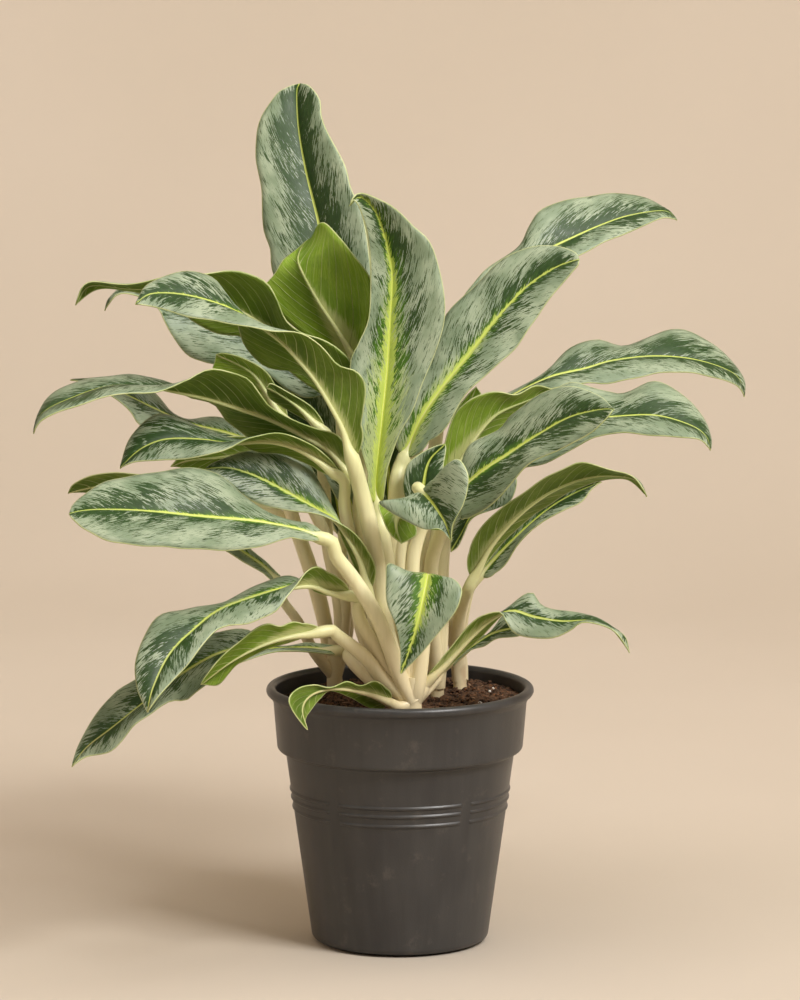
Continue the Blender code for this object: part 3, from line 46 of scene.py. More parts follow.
# Nursery pot
# One thin injection-moulded plastic shell, dark anthracite and satin. It has a rolled rim, a deep collar,
# three thin ribs in broken rings round the body, and a ring with notches to stand on.
POT_SIDES = 128
RIM_RADIUS = 95.0
RIM_HEIGHT = 180.5
BEAD = 3.5
WALL = 1.5
FLOOR_TOP = 5.0
COLLAR_TOP = (90.0, 173.0)
COLLAR_FOOT = (87.4, 142.0)
BODY_TOP = (81.0, 134.5)
BODY_FOOT = (63.4, 7.0)
FOOT_RING = (50.5, 56.5)
PAD_RADIUS = 22.0
RECESS = 3.0
RIBS = (97.0, 104.0, 110.0)
RIB_HALF = 1.5
RIB_RISE = 0.8
RIB_ARCS = 5
RIB_ARC_HALF_ANGLE = 33.0
DRAIN_HOLES = 6
DRAIN_RADIUS = 4.5
DRAIN_CIRCLE = 37.0
FOOT_NOTCHES = 3
FOOT_NOTCH_ANGLE = -114.0
FOOT_NOTCH = (12.0, 10.0, 3.0)


def arc(centre, radius, start, end, steps):
    """Points (radius, height) along an arc of the pot's profile, angles in degrees."""
    turns = [math.radians(start + (end - start) * step / steps) for step in range(steps + 1)]
    return [(centre[0] + radius * math.cos(turn), centre[1] + radius * math.sin(turn)) for turn in turns]


def side_radius(height):
    """The radius of the pot's body at a height."""
    share = (height - BODY_FOOT[1]) / (BODY_TOP[1] - BODY_FOOT[1])
    return BODY_FOOT[0] + (BODY_TOP[0] - BODY_FOOT[0]) * share


def pot_profile():
    """The pot's section from the middle of its underside, up the outside, over the rim and down inside."""
    line = [(PAD_RADIUS, 0.0), (PAD_RADIUS + 1.2, 0.5), (PAD_RADIUS + 2.0, RECESS)]
    line += [(FOOT_RING[0] - 1.5, RECESS), (FOOT_RING[0] - 0.4, 0.6), (FOOT_RING[0] + 0.6, 0.0)]
    line += [(FOOT_RING[1] - 0.8, 0.0), (FOOT_RING[1], 0.5)]
    line += arc((BODY_FOOT[0] - 5.2, 6.2), 5.0, -78, -4, 6)
    for rib in RIBS:
        line += [(side_radius(rib - RIB_HALF), rib - RIB_HALF), (side_radius(rib + RIB_HALF), rib + RIB_HALF)]
    line += [BODY_TOP] + arc((BODY_TOP[0] + 2.6, BODY_TOP[1] + 0.9), 2.4, 170, 95, 4)
    line += arc((COLLAR_FOOT[0] - 3.2, COLLAR_FOOT[1] - 0.6), 3.2, -70, 0, 5)
    line += [COLLAR_TOP] + arc((RIM_RADIUS - BEAD, RIM_HEIGHT), BEAD, -75, 180, 12)
    line += [(COLLAR_TOP[0] - WALL, COLLAR_TOP[1]), (COLLAR_FOOT[0] - WALL, COLLAR_FOOT[1] + 0.6)]
    line += [(BODY_TOP[0] - WALL, BODY_TOP[1] + 0.6), (BODY_FOOT[0] - WALL, FLOOR_TOP + 3.0)]
    line += [(BODY_FOOT[0] - WALL - 2.5, FLOOR_TOP)]
    return line


def select_faces(mesh_object, wanted):
    """In edit mode, selects just the faces whose middle, in millimetres, is wanted."""
    edit = bmesh.from_edit_mesh(mesh_object.data)
    bpy.ops.mesh.select_all(action="DESELECT")
    for face in edit.faces:
        face.select_set(wanted(face.calc_center_median() / MM, face))
    bmesh.update_edit_mesh(mesh_object.data)


def in_rib_arc(middle):
    """Whether a face of the pot's body lies on one of the broken rings of ribs."""
    angle = math.degrees(math.atan2(middle.y, middle.x)) + 90.0
    pitch = 360.0 / RIB_ARCS
    away = abs((angle + pitch / 2) % pitch - pitch / 2)
    on_rib = any(abs(middle.z - rib) < 0.5 * RIB_HALF for rib in RIBS)
    outside = math.hypot(middle.x, middle.y) > side_radius(middle.z) - 0.5
    return on_rib and outside and away < RIB_ARC_HALF_ANGLE


profile = pot_profile()
bpy.ops.mesh.primitive_circle_add(
    vertices=POT_SIDES, radius=profile[0][0] * MM, fill_type="NOTHING", location=(0, 0, profile[0][1] * MM)
)
pot = bpy.context.object
pot.name = "pot_shell"
bpy.ops.object.transform_apply()
bpy.ops.object.mode_set(mode="EDIT")
bpy.ops.mesh.select_all(action="SELECT")
bpy.ops.mesh.edge_face_add()
bpy.ops.mesh.select_all(action="SELECT")
bpy.ops.mesh.delete(type="ONLY_FACE")
bpy.ops.mesh.select_all(action="SELECT")
for (radius, height), (next_radius, next_height) in zip(profile, profile[1:]):
    bpy.ops.mesh.extrude_region_move(
        TRANSFORM_OT_translate={"value": (0, 0, (next_height - height) * MM)}
    )
    grow = next_radius / radius
    bpy.ops.transform.resize(value=(grow, grow, 1), center_override=(0, 0, next_height * MM))
bpy.ops.mesh.edge_face_add()
bpy.ops.mesh.select_all(action="DESELECT")
bpy.ops.mesh.select_non_manifold(extend=False, use_boundary=True)
bpy.ops.mesh.edge_face_add()
bpy.ops.mesh.select_all(action="SELECT")
bpy.ops.mesh.normals_make_consistent(inside=False)
select_faces(pot, lambda middle, face: in_rib_arc(middle))
bpy.ops.mesh.inset(thickness=0.9 * MM, depth=RIB_RISE * MM)
bpy.ops.mesh.inset(thickness=0.25 * MM, depth=0.12 * MM)
bpy.ops.object.mode_set(mode="OBJECT")


def cut_from_pot(cutter):
    """Takes the cutter's shape out of the pot, and removes the cutter."""
    cut = pot.modifiers.new("cut", "BOOLEAN")
    cut.operation = "DIFFERENCE"
    cut.object = cutter
    bpy.context.view_layer.objects.active = pot
    bpy.ops.object.modifier_apply(modifier=cut.name)
    bpy.data.objects.remove(cutter, do_unlink=True)


for number in range(DRAIN_HOLES):
    turn = 2 * math.pi * (number + 0.5) / DRAIN_HOLES
    spot = Vector((math.cos(turn), math.sin(turn), 0)) * DRAIN_CIRCLE * MM
    bpy.ops.mesh.primitive_cylinder_add(
        vertices=32, radius=DRAIN_RADIUS * MM, depth=4 * FLOOR_TOP * MM, location=spot
    )
    cut_from_pot(bpy.context.object)
for number in range(FOOT_NOTCHES):
    turn = math.radians(FOOT_NOTCH_ANGLE + 360.0 * number / FOOT_NOTCHES)
    spot = Vector((math.cos(turn), math.sin(turn), 0)) * sum(FOOT_RING) / 2 * MM
    bpy.ops.mesh.primitive_cube_add(size=1, location=spot, rotation=(0, 0, turn), scale=Vector(FOOT_NOTCH) * MM)
    cut_from_pot(bpy.context.object)
bpy.ops.object.select_all(action="DESELECT")
pot.select_set(True)
bpy.context.view_layer.objects.active = pot
bpy.ops.object.shade_smooth_by_angle(angle=math.radians(40))


class Wire:
    """One output of a material's nodes. Arithmetic on it adds Math nodes."""

    def __init__(self, look, socket):
        self.look = look
        self.socket = socket

    def maths(self, operation, *values):
        return self.look.node("ShaderNodeMath", {"operation": operation}, *values)

    def __add__(self, other):
        return self.maths("ADD", self, other)

    __radd__ = __add__

    def __sub__(self, other):
        return self.maths("SUBTRACT", self, other)

    def __rsub__(self, other):
        return self.maths("SUBTRACT", other, self)

    def __mul__(self, other):
        return self.maths("MULTIPLY", self, other)

    __rmul__ = __mul__

    def __truediv__(self, other):
        return self.maths("DIVIDE", self, other)

    def __pow__(self, other):
        return self.maths("POWER", self, other)


class Look:
    """A Principled material in the making."""

    def __init__(self, name, roughness=0.5, **constants):
        self.material = bpy.data.materials.new(name)
        self.material.use_nodes = True
        self.tree = self.material.node_tree
        self.shader = self.tree.nodes["Principled BSDF"]
        self.shader.inputs["Roughness"].default_value = roughness
        for socket, value in constants.items():
            self.shader.inputs[socket.replace("_", " ")].default_value = value

    def node(self, kind, settings=None, *values, output=0, **named):
        """Adds a node: its settings first, then the values or wires of its sockets, in order or by name."""
        made = self.tree.nodes.new(kind)
        for setting, value in (settings or {}).items():
            if setting == "stops":
                ramp = made.color_ramp
                while len(ramp.elements) < len(value):
                    ramp.elements.new(0.5)
                for element, (place, colour) in zip(ramp.elements, value):
                    element.position = place
                    element.color = (*colour, 1.0)
            else:
                setattr(made, setting, value)
        for socket, value in [*enumerate(values), *((key.replace("_", " "), named[key]) for key in named)]:
            if isinstance(value, Wire):
                self.tree.links.new(value.socket, made.inputs[socket])
            elif value is not None:
                made.inputs[socket].default_value = value
        return Wire(self, made.outputs[output])

    def vector(self, x, y, z):
        return self.node("ShaderNodeCombineXYZ", None, x, y, z)

    def part(self, vector, axis):
        return self.node("ShaderNodeSeparateXYZ", None, vector, output=axis)

    def grain(self, vector, scale, detail=2.0, roughness=0.5):
        """Noise from 0 to 1."""
        return self.node(
            "ShaderNodeTexNoise", None, Vector=vector, Scale=scale, Detail=detail, Roughness=roughness
        )

    def step(self, value, low, high, to_low=0.0, to_high=1.0):
        """A soft step: to_low below low, to_high above high."""
        return self.node(
            "ShaderNodeMapRange", {"interpolation_type": "SMOOTHSTEP"}, value, low, high, to_low, to_high
        )

    def blend(self, factor, first, second):
        """Mixes two colours."""
        made = self.tree.nodes.new("ShaderNodeMix")
        made.data_type = "RGBA"
        for socket, value in ((0, factor), (6, first), (7, second)):
            if isinstance(value, Wire):
                self.tree.links.new(value.socket, made.inputs[socket])
            else:
                made.inputs[socket].default_value = value if socket == 0 else (*value, 1.0)
        return Wire(self, made.outputs[2])

    def bump(self, height, distance, strength=1.0):
        bumped = self.node("ShaderNodeBump", None, Height=height, Distance=distance, Strength=strength)
        self.feed("Normal", bumped)

    def feed(self, socket, wire):
        self.tree.links.new(wire.socket, self.shader.inputs[socket])


def tint(red, green, blue):
    """An sRGB colour of 0 to 255 as the linear colour that a shader takes."""
    return tuple((value / 255 / 12.92 if value <= 10 else ((value / 255 + 0.055) / 1.055) ** 2.4)
                 for value in (red, green, blue))


def pot_plastic():
    """Dark moulded plastic: fine grain, faint flow marks down the side, and a little dust that dulls it."""
    look = Look("pot_plastic", Specular_IOR_Level=0.45)
    place = look.node("ShaderNodeTexCoord", output="Object")
    fine = look.grain(place, 900.0, 2.0)
    cloud = look.grain(place, 14.0, 4.0)
    streak = look.grain(look.node("ShaderNodeMapping", None, place, Scale=(120.0, 120.0, 3.0)), 1.0, 2.0)
    dust = look.step(look.grain(place, 60.0, 5.0, 0.7), 0.56, 0.72)
    colour = look.blend(look.step(cloud * 0.6 + streak * 0.4, 0.35, 0.65), tint(50, 49, 49), tint(60, 59, 58))
    look.feed("Base Color", look.blend(dust * 0.18, colour, tint(120, 112, 102)))
    look.feed("Roughness", look.step(cloud + dust * 0.3, 0.3, 0.9, 0.34, 0.52))
    look.bump(fine * 0.6 + streak * 0.4, 0.00012)
    return look.material


pot.data.materials.append(pot_plastic())
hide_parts("pot")
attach(pot, "root")

# Potting soil
# Dark peat with bark crumbs and fibres, pressed down by watering and a little higher at the back and right.
# It fills the pot; the grains that lie loose on it are their own small pieces.
SOIL_TOP = 172.0
SOIL_RADIUS = 88.0
SOIL_MOUND = 3.0
CRUMB_HEIGHT = 1.8
SOIL_CELLS = 110
CRUMBS = 900
BARK_CHIPS = 110


def soil_height(x, y):
    """The height of the soil's crumbly top, as the solid has it, in millimetres."""
    edge = math.hypot(x, y) / (COLLAR_TOP[0] - WALL)
    mound = SOIL_MOUND * (1 - edge**2) + 1.5 * (x + y) / RIM_RADIUS
    lumps = noise.noise(Vector((x, y, 3.0)) * 0.16) + 0.6 * noise.noise(Vector((x, y, 9.0)) * 0.4)
    return SOIL_TOP + mound + CRUMB_HEIGHT * lumps


def fine_crumbs(x, y):
    """The small grains that a solid of few faces leaves out."""
    return 0.9 * noise.noise(Vector((x, y, 5.0)) * 0.9) + 0.5 * noise.noise(Vector((x, y, 7.0)) * 2.1)


bpy.ops.mesh.primitive_grid_add(x_subdivisions=SOIL_CELLS, y_subdivisions=SOIL_CELLS, size=2)
soil = bpy.context.object
soil.name = "soil_bed"
for vertex in soil.data.vertices:
    x, y = vertex.co.x, vertex.co.y
    x, y = x * math.sqrt(1 - y * y / 2) * SOIL_RADIUS, y * math.sqrt(1 - x * x / 2) * SOIL_RADIUS
    vertex.co = Vector((x, y, soil_height(x, y) + fine_crumbs(x, y))) * MM
bpy.ops.object.mode_set(mode="EDIT")
bpy.ops.mesh.select_all(action="DESELECT")
bpy.ops.mesh.select_non_manifold(extend=False, use_boundary=True)
bpy.ops.mesh.extrude_region_move()
bpy.ops.transform.resize(value=(1, 1, 0), center_override=(0, 0, 150 * MM))
skirt = (SOIL_RADIUS, 150.0)
for stop in (
    (COLLAR_FOOT[0] - WALL - 0.4, COLLAR_FOOT[1]),
    (BODY_TOP[0] - WALL - 0.4, BODY_TOP[1]),
    (BODY_FOOT[0] - WALL - 0.4, FLOOR_TOP + 3.4),
    (BODY_FOOT[0] - WALL - 2.9, FLOOR_TOP + 0.4),
):
    bpy.ops.mesh.extrude_region_move(TRANSFORM_OT_translate={"value": (0, 0, (stop[1] - skirt[1]) * MM)})
    bpy.ops.transform.resize(
        value=(stop[0] / skirt[0], stop[0] / skirt[0], 1), center_override=(0, 0, stop[1] * MM)
    )
    skirt = stop
bpy.ops.mesh.edge_face_add()
bpy.ops.mesh.select_all(action="SELECT")
bpy.ops.mesh.normals_make_consistent(inside=False)
bpy.ops.object.mode_set(mode="OBJECT")
bpy.ops.object.shade_smooth()


def peat():
    """Moist peat: brown crumbs, painted shade that turns near-black in the hollows of the bump, and the odd rusty
    fibre.
    """
    look = Look("peat", 0.92, Specular_IOR_Level=0.25)
    place = look.node("ShaderNodeTexCoord", output="Object")
    coarse = look.grain(place, 260.0, 6.0, 0.7)
    fine = look.grain(place, 1100.0, 3.0, 0.6)
    rust = look.step(look.grain(place, 420.0, 2.0), 0.6, 0.7)
    # The bump's hollows come from the same coarse noise, so the near-black colour there is painted shade.
    dark = look.blend(look.step(coarse, 0.38, 0.62), tint(38, 26, 19), tint(104, 76, 56))
    colour = look.blend(rust * 0.6, dark, tint(150, 96, 60))
    look.feed("Base Color", look.blend(look.step(fine, 0.62, 0.75) * 0.4, colour, tint(140, 112, 88)))
    look.bump(coarse + fine * 0.5, 0.0012)
    return look.material


peat_look = peat()
soil.data.materials.append(peat_look)
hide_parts("soil")
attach(soil, "root")

# Crumbs, bark chips and perlite
# Loose grains on the soil: angular peat crumbs, flat slivers of bark lying at all angles, and a few white
# beads of expanded perlite. Each grain is one small closed lump, sunk about a third into the bed.
GRAIN_SEED = 11
grain_dice = random.Random(GRAIN_SEED)


def lump(size, flatness, stretch):
    """One angular grain at the middle of the world, returned as its corners and faces."""
    bpy.ops.mesh.primitive_ico_sphere_add(subdivisions=1, radius=size * MM)
    made = bpy.context.object
    for vertex in made.data.vertices:
        vertex.co *= grain_dice.uniform(0.7, 1.2)
        vertex.co.x *= stretch
        vertex.co.z *= flatness
    corners = [vertex.co.copy() for vertex in made.data.vertices]
    faces = [tuple(face.vertices) for face in made.data.polygons]
    bpy.data.objects.remove(made, do_unlink=True)
    return corners, faces


def scatter(name, count, kinds, size_range, tilt, reach=SOIL_RADIUS - 3.0):
    """Drops turned and sized copies of a few grains on the soil, all in one mesh."""
    corners, faces = [], []
    for _ in range(count):
        shape, shape_faces = grain_dice.choice(kinds)
        size = grain_dice.uniform(*size_range)
        turn = grain_dice.uniform(0, 2 * math.pi)
        away = reach * math.sqrt(grain_dice.random())
        heading = grain_dice.uniform(0, 2 * math.pi)
        x, y = away * math.cos(heading), away * math.sin(heading)
        lean = grain_dice.uniform(-tilt, tilt)
        first = len(corners)
        for corner in shape:
            along = corner.x * math.cos(lean) - corner.z * math.sin(lean)
            up = corner.x * math.sin(lean) + corner.z * math.cos(lean)
            spot = Vector((
                along * math.cos(turn) - corner.y * math.sin(turn),
                along * math.sin(turn) + corner.y * math.cos(turn),
                up,
            ))
            ground = Vector((x, y, soil_height(x, y) + fine_crumbs(x, y) + 0.3 * size)) * MM
            corners.append(spot * size + ground)
        faces += [tuple(first + corner for corner in face) for face in shape_faces]
    mesh = bpy.data.meshes.new(name)
    mesh.from_pydata(corners, [], faces)
    made = bpy.data.objects.new(name, mesh)
    bpy.context.scene.collection.objects.link(made)
    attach(made, "root")
    return made


crumbs = scatter("soil_crumbs", CRUMBS, [lump(1.0, 0.8, 1.2) for _ in range(8)], (0.7, 2.0), 0.6)
crumbs.data.materials.append(peat_look)
chips = scatter("bark_chips", BARK_CHIPS, [lump(1.0, 0.3, 3.4) for _ in range(6)], (0.7, 1.5), 0.5)
perlite = scatter("perlite_beads", 26, [lump(1.0, 0.85, 1.15) for _ in range(5)], (0.6, 1.3), 0.6)


def bark():
    """Split bark: red-brown to grey, with long grain."""
    look = Look("bark", 0.8)
    place = look.node("ShaderNodeTexCoord", output="Object")
    patch = look.grain(place, 90.0, 2.0)
    grain = look.grain(place, 900.0, 3.0)
    colour = look.blend(look.step(patch, 0.4, 0.6), tint(70, 46, 32), tint(146, 112, 84))
    look.feed("Base Color", look.blend(look.step(grain, 0.5, 0.7) * 0.5, colour, tint(46, 32, 24)))
    look.bump(grain, 0.0006)
    return look.material


def perlite_white():
    """Expanded perlite: chalk white, pitted, stained a little by the peat."""
    look = Look("perlite", 0.85)
    place = look.node("ShaderNodeTexCoord", output="Object")
    pits = look.grain(place, 1400.0, 3.0)
    stain = look.grain(place, 300.0, 2.0)
    look.feed("Base Color", look.blend(look.step(stain, 0.5, 0.8), tint(236, 230, 220), tint(176, 158, 136)))
    look.bump(pits, 0.0005)
    return look.material


chips.data.materials.append(bark())
perlite.data.materials.append(perlite_white())

# Leaves
# Forty-seven lance-shaped blades, each one thin waxy sheet: silver-green with dark feathers along a pale
# yellow midrib, and plain green below. Margins ripple a little, and many tips curl over.
# Each blade follows its two margins and its midrib, which are read off the front view: (x, z) in centimetres,
# and for the midrib also the depth behind the pot's axis.
BLADE = 0.7
BLADE_FOOT_HALF_WIDTH = 3.6
HALF_ARCH = 0.07
LEAN_POWER = 0.6
END_CROWDING = 0.05
CURVE_STEPS = 12
EYE = (0.0, -349.2, 83.4)
FAN_REACH = 19.0
FAN_POWER = 1.5
LEAF_ROWS = 57
LEAF_COLUMNS = 22
COLUMN_CROWDING = 1.5
FOOT_SHARE = 0.075
FOOT_ROUNDNESS = 0.7
EDGE_WAVES = 2.1
EDGE_RIPPLE = 0.05
EDGE_POWER = 2.5
EDGE_PHASE = 1.7
EDGE_SIDE_PHASE = 2.1
FULL_RIPPLE_WIDTH = 2.0
MIDRIB_GROOVE = 0.05
MIDRIB_GROOVE_WIDTH = 0.16
LEAVES = {
    "leaf_01": (
        "-5 43.5, -8.2 46.5, -9 48, -9.1 49.4, -9.6 50.9, -9.7 53.5, -10.1 56, -9.85 58.3, "
        "-8.7 60.2, -7.8 60.8",
        "-4.2 43 5, -4.8 47 5.5, -5.7 51.3 6.5, -6.6 55 7.5, -7.1 58 8.5, -7.2 60.4 9.3, "
        "-7 61.05 9.6",
        "-3.6 43.2, -2 46, -2.1 48.5, -2.65 52, -3.4 53.6, -3.85 55.3, -5.1 57.7, -5.5 58.8, "
        "-5.6 59.9, -6.3 60.85",
        (-1, -1),
    ),
    "leaf_02": (
        "-1.9 31.5, -2.1 33, -2.9 36, -3.2 38.5, -3.5 41.3, -2.9 42.8, -2.2 44.5, -2.05 47.5, "
        "-2.2 50, -2.7 52, -3.2 52.9",
        "-1.6 31.4 -1.5, -1.7 33 -1.5, -1.3 37 -1, -0.9 41 0, -0.7 44.5 0.5, -0.55 47.5 0.8, "
        "-0.8 49.3 0.6, -1.2 50.8 0, -1.8 52.2 -1, -2.8 53.1 -2, -3.6 52.5 -2.6",
        "-1.3 31.5, -1 33.5, 0 36.4, 0.9 38, 1.6 40, 2.45 42, 3.15 44.5, 3.05 46.7, 2.5 49, "
        "1.9 50.2, 1 51, 0 52, -1 52.7, -2.8 53.35",
        (-1.8, -1),
    ),
    "leaf_03": (
        "-2.6 41.8, -2.5 43.5, -2 45, -1.95 47.1, -3.2 49, -4 50, -5 51.1, -5.5 51.3, "
        "-5.9 50.8",
        "-3 41.5 2.5, -4.2 43.5 2.2, -5.8 45.9 2, -7 48.2 2.2, -7 49.1 3.5, -6.5 49.9 4.4, "
        "-6 50.2 5",
        "-3.3 41.2, -4.8 42.2, -6.6 43.3, -8 44.4, -9.1 45.6, -9.7 46.5, -8.8 47.7, -8.1 48.7, "
        "-7.2 49.4, -6.5 50",
        (-0.8, 0.6),
    ),
    "leaf_04": (
        "-3 35, -2.75 36.8, -2.4 39.5, -3 40.8, -4.4 41.3, -5.6 42.7, -7 43.5, -9.5 43.75, "
        "-12 44.2, -15 44.7, -17 45.3",
        "-3.3 34.8 -4, -3.9 36.7 -4, -5 38.7 -3.9, -6 40.3 -3.8, -7 41.5 -3.6, -8.2 42.8 -3.4, "
        "-9.6 43.9 -3.4, -11.3 45 -3.6, -13.3 45.8 -3.9, -15.5 46.3 -4.2, -17.5 46.3 -4.6, "
        "-18.6 45.6 -5",
        "-3.6 35.2, -4.3 37.4, -5.5 39.3, -7 40.7, -9 41, -10 41.5, -10.9 42.6, -11.4 44.2, "
        "-12 46, -13 47.3, -14.5 47.9, -16 47.7, -17.8 46.9",
        (-1.4, 1.3),
    ),
    "leaf_05": (
        "-3.2 39.3, -3.4 41.3, -4.2 42.3, -5.5 43.1, -7 43.6, -8 44.4, -8.6 45.9, -9.4 47.1, "
        "-10.8 47.8, -12 47.9, -13.5 47.75, -16.5 47.5, -19 46.95, -21.9 47.1",
        "-3.6 38.8 0.5, -5.8 41 0.2, -8.3 43.2 0, -11 45 -0.4, -13.5 46 -0.6, -16 46.6 -0.6, "
        "-19 46.7 -0.6, -21.8 46.9 -0.8, -22.85 45.5 -1",
        "-4.2 38.5, -6.5 39.8, -9 41.8, -11 43.2, -13 43.5, -14.6 44.4, -16.5 45.8, -19 46.5, "
        "-21.2 46.6",
        (-1.2, 0.6),
    ),
    "leaf_06": (
        "-6 38.5, -8 39.5, -10 41, -13.1 41.3, -14 41.5, -15 42, -16 43.3, -16.5 44.3, "
        "-16.9 45.2, -18 46, -19.7 46.3",
        "-5 39.5 3, -8 41.5 3, -11 43.5 2.8, -14 45 2.6, -17 46 2.4, -19 46.45 2.2, "
        "-20.4 46 2, -20.8 45.1 2",
        "-5 40.5, -8 43, -11 45.5, -14 47, -16.5 47.2, -18 47, -19.8 46.6",
        (-1, 1.2),
    ),
    "leaf_07": (
        "-5.5 37.4, -6.2 38.3, -7.6 39.2, -9 39.95",
        "-5.6 36.8 -0.2, -7 38.2 -0.2, -8.3 39.1 -0.2, -9.4 39.7 -0.2",
        "-6.3 37.1, -7.8 38, -9.2 38.9",
        (-0.3, 0.3),
    ),
    "leaf_08": (
        "-7.9 38, -8.6 39.5, -9.4 40.8, -11 41.75, -12.3 42.1",
        "-8.2 37.5 0.9, -9.3 39.3 0.9, -10.5 40.8 0.9, -12.9 42.05 1.1",
        "-8.6 37.8, -10 39, -11.5 40, -13.1 40.7, -13 41.6",
        (-0.4, 0.4),
    ),
    "leaf_09": (
        "-3.6 34, -4 35.2, -4.4 36.3, -6 36.8, -8 37.6, -9.2 38.4, -9.9 39.3, -11 40.5, "
        "-13 40.95, -14 40.8, -15 40.2, -16.3 39.6, -18 39.25, -20 39.2, -22 38.6, -24 37.95, "
        "-25.3 37.3",
        "-3.4 33.4 -2.4, -5 35.2 -2.4, -7 36.4 -2.5, -9 37.4 -2.6, -11 38.1 -2.8, "
        "-13.5 38.9 -3, -16 39.45 -3.2, -18 39.8 -3.4, -20.5 39.8 -3.6, -23 39 -3.8, "
        "-25.2 37.9 -4, -25.9 36.4 -4.2",
        "-3.9 33.2, -5.5 34, -7.5 34.8, -9 35.3, -10.4 35.9, -12.2 37.3, -13 38.4, -15 39.1, "
        "-16.5 40.1, -18.5 40.55, -20.5 40.5, -23.3 39.9, -25.1 38.6",
        (-1.5, 1.5),
    ),
    "leaf_10": (
        "-9.8 35, -13 35.8, -16 36.2, -18.2 36.9, -19 38, -20.5 39.2, -22 39.9",
        "-9.5 35.5 3.2, -12 36.4 3.3, -15 37.2 3.5, -17.5 38.3 3.6, -20 39.5 3.8, "
        "-22 40.1 3.8, -23.2 40.25 3.8",
        "-9.6 36.2, -10.8 36.4, -12 37.3, -13 37.6, -15 37.45, -16.1 37.9, -17.1 39.2, "
        "-18.5 40.2, -20.5 40.4",
        (-1, 1),
    ),
    "leaf_11": (
        "-4.3 34, -5.4 35, -6.2 35.6, -7.5 36.2, -9 36.45, -10.5 36.1, -12 35.4, -14 34.75, "
        "-16.5 34.5, -18.6 34.4",
        "-4.6 33.6 -2.9, -5.8 34.6 -2.9, -7.5 35.5 -3, -9.5 35.9 -3.1, -12 35.75 -3.2, "
        "-14 36 -3.2, -16.5 36 -3.2, -18.3 35.3 -3.4, -19.8 33.95 -3.6",
        "-5 33.5, -6.5 34.2, -8.2 34.9, -10 35.1, -11.5 35.75, -12.5 36.15, -14.5 37, "
        "-16.5 37.8, -17.8 37.4, -19.1 36",
        (-1.2, 1.2),
    ),
    "leaf_12": (
        "-8.2 35.4, -10.5 36.2, -13 36, -15 35.2",
        "-8 34.6 0, -10.5 34.9 0, -13 34.7 0, -15 34.5 0, -16.2 34.1 0",
        "-8.5 33.8, -11 33.6, -13.3 33.4, -15 33.9",
        (-0.5, 0.5),
    ),
    "leaf_13": (
        "-2 25.6, -1.7 26.8, -2.3 28.1, -3.2 29.3, -4.3 30, -6 30.7, -8 30.9, -10.5 31.6, "
        "-12.5 33.2",
        "-2.3 25.4 -4.9, -2.7 27.2 -4.8, -3.5 28.8 -4.4, -4.4 30.1 -3.8, -6 31.1 -3.2, "
        "-8 32.25 -2.8, -10 33.3 -2.6, -12 33.95 -2.6, -13.8 33.9 -2.8",
        "-2.7 25.6, -3.3 27, -4.1 28.9, -4.5 30.2, -4.8 31.2, -5.7 33, -7 34.8, -9 35.3, "
        "-11 35.1, -13 34.4",
        (-0.9, 1),
    ),
    "leaf_14": (
        "-6 28.95, -7 29, -8 28.9, -10 28.3, -12 28.05, -16 28.25, -20 28.6, -22 29.4, "
        "-23.1 30.3",
        "-5.6 29.05 -7.4, -7.2 29.6 -7.3, -10 30.15 -7, -14 30.5 -7, -18 30.9 -7, -21 31 -7.3, "
        "-22.5 30.9 -7.6, -23.35 30.7 -8",
        "-5.3 29.5, -5.7 30.2, -7 30.1, -8.6 30.5, -9.7 31, -11 32, -13 33.6, -15 33.95, "
        "-17.5 33.6, -20.7 33, -22.5 31.9, -23.2 31.2",
        (-1.8, 1.7),
    ),
    "leaf_15": (
        "-13 33, -16 33.3, -19.5 33.6, -21.5 33.5, -23 32.85",
        "-12.5 32 3.6, -15 32.4 3.6, -18 32.7 3.6, -21 32.7 3.6, -23.45 32.2 3.6",
        "-13 31.2, -16 31.4, -19 31.8, -22 32.2",
        (-0.5, 0.5),
    ),
    "leaf_16": (
        "-9 25.95, -9.9 26.55, -11.2 27.3, -12.8 28.3, -14.5 29, -16.5 29.9",
        "-8.7 26 0.5, -9.7 27 0.5, -11 27.9 0.5, -13 29.2 0.6, -15.5 30.2 0.8, -18 30.6 1",
        "-8.5 26.2, -9.4 27.2, -10.6 28.2, -12.5 30.2, -15 31.2, -17 31.1",
        (-0.6, 0.6),
    ),
    "leaf_17": (
        "-3.8 25.4, -4.5 25.9, -5.1 26.5, -5.9 26.9, -6.7 26.5, -7.3 25.6, -8 24.7, -8.9 23.6, "
        "-10.5 22.9, -12.3 22.6, -13.3 22.1, -15 19.9, -16 18.8, -17.1 17.6",
        "-3.7 24.9 -5.6, -5.1 25.2 -5.8, -6.3 25.6 -6, -7.6 25.5 -6.4, -10 24.9 -7, "
        "-12.7 23.9 -7.5, -14.5 22.5 -8, -16.3 20.7 -8.5, -17.5 18.3 -9, -18 16.4 -9.3",
        "-3.9 24.6, -5 24.9, -6 25.1, -6.9 25.9, -8 26.25, -10 25.65, -11.5 24.85, -13 24.2, "
        "-15 23.9, -17 23.4, -18 22.2, -18.8 20, -18.7 18.2, -18.3 17.1",
        (-1.2, 1.2),
    ),
    "leaf_18": (
        "-5 20.6, -7 20.8, -9 20.75, -12 19.7, -13.2 18.8, -14.5 17.8, -15.2 17.3, "
        "-16.4 17.15, -18.6 15.7, -19.3 15, -19.9 14.2, -20.7 13.5, -22.3 13.2",
        "-4.6 20.9 -2, -7 21.1 -2.4, -9.5 21 -2.8, -12.5 20.8 -3.4, -15.5 19.2 -4, "
        "-18 17.3 -4.6, -20.5 15.3 -5.2, -22.3 13.9 -5.6, -23.4 12.5 -6",
        "-4.8 21.1, -5.8 21.7, -7 21.4, -8.7 21.2, -10 22, -11 22.4, -12.5 22.3, -14.5 21.7, "
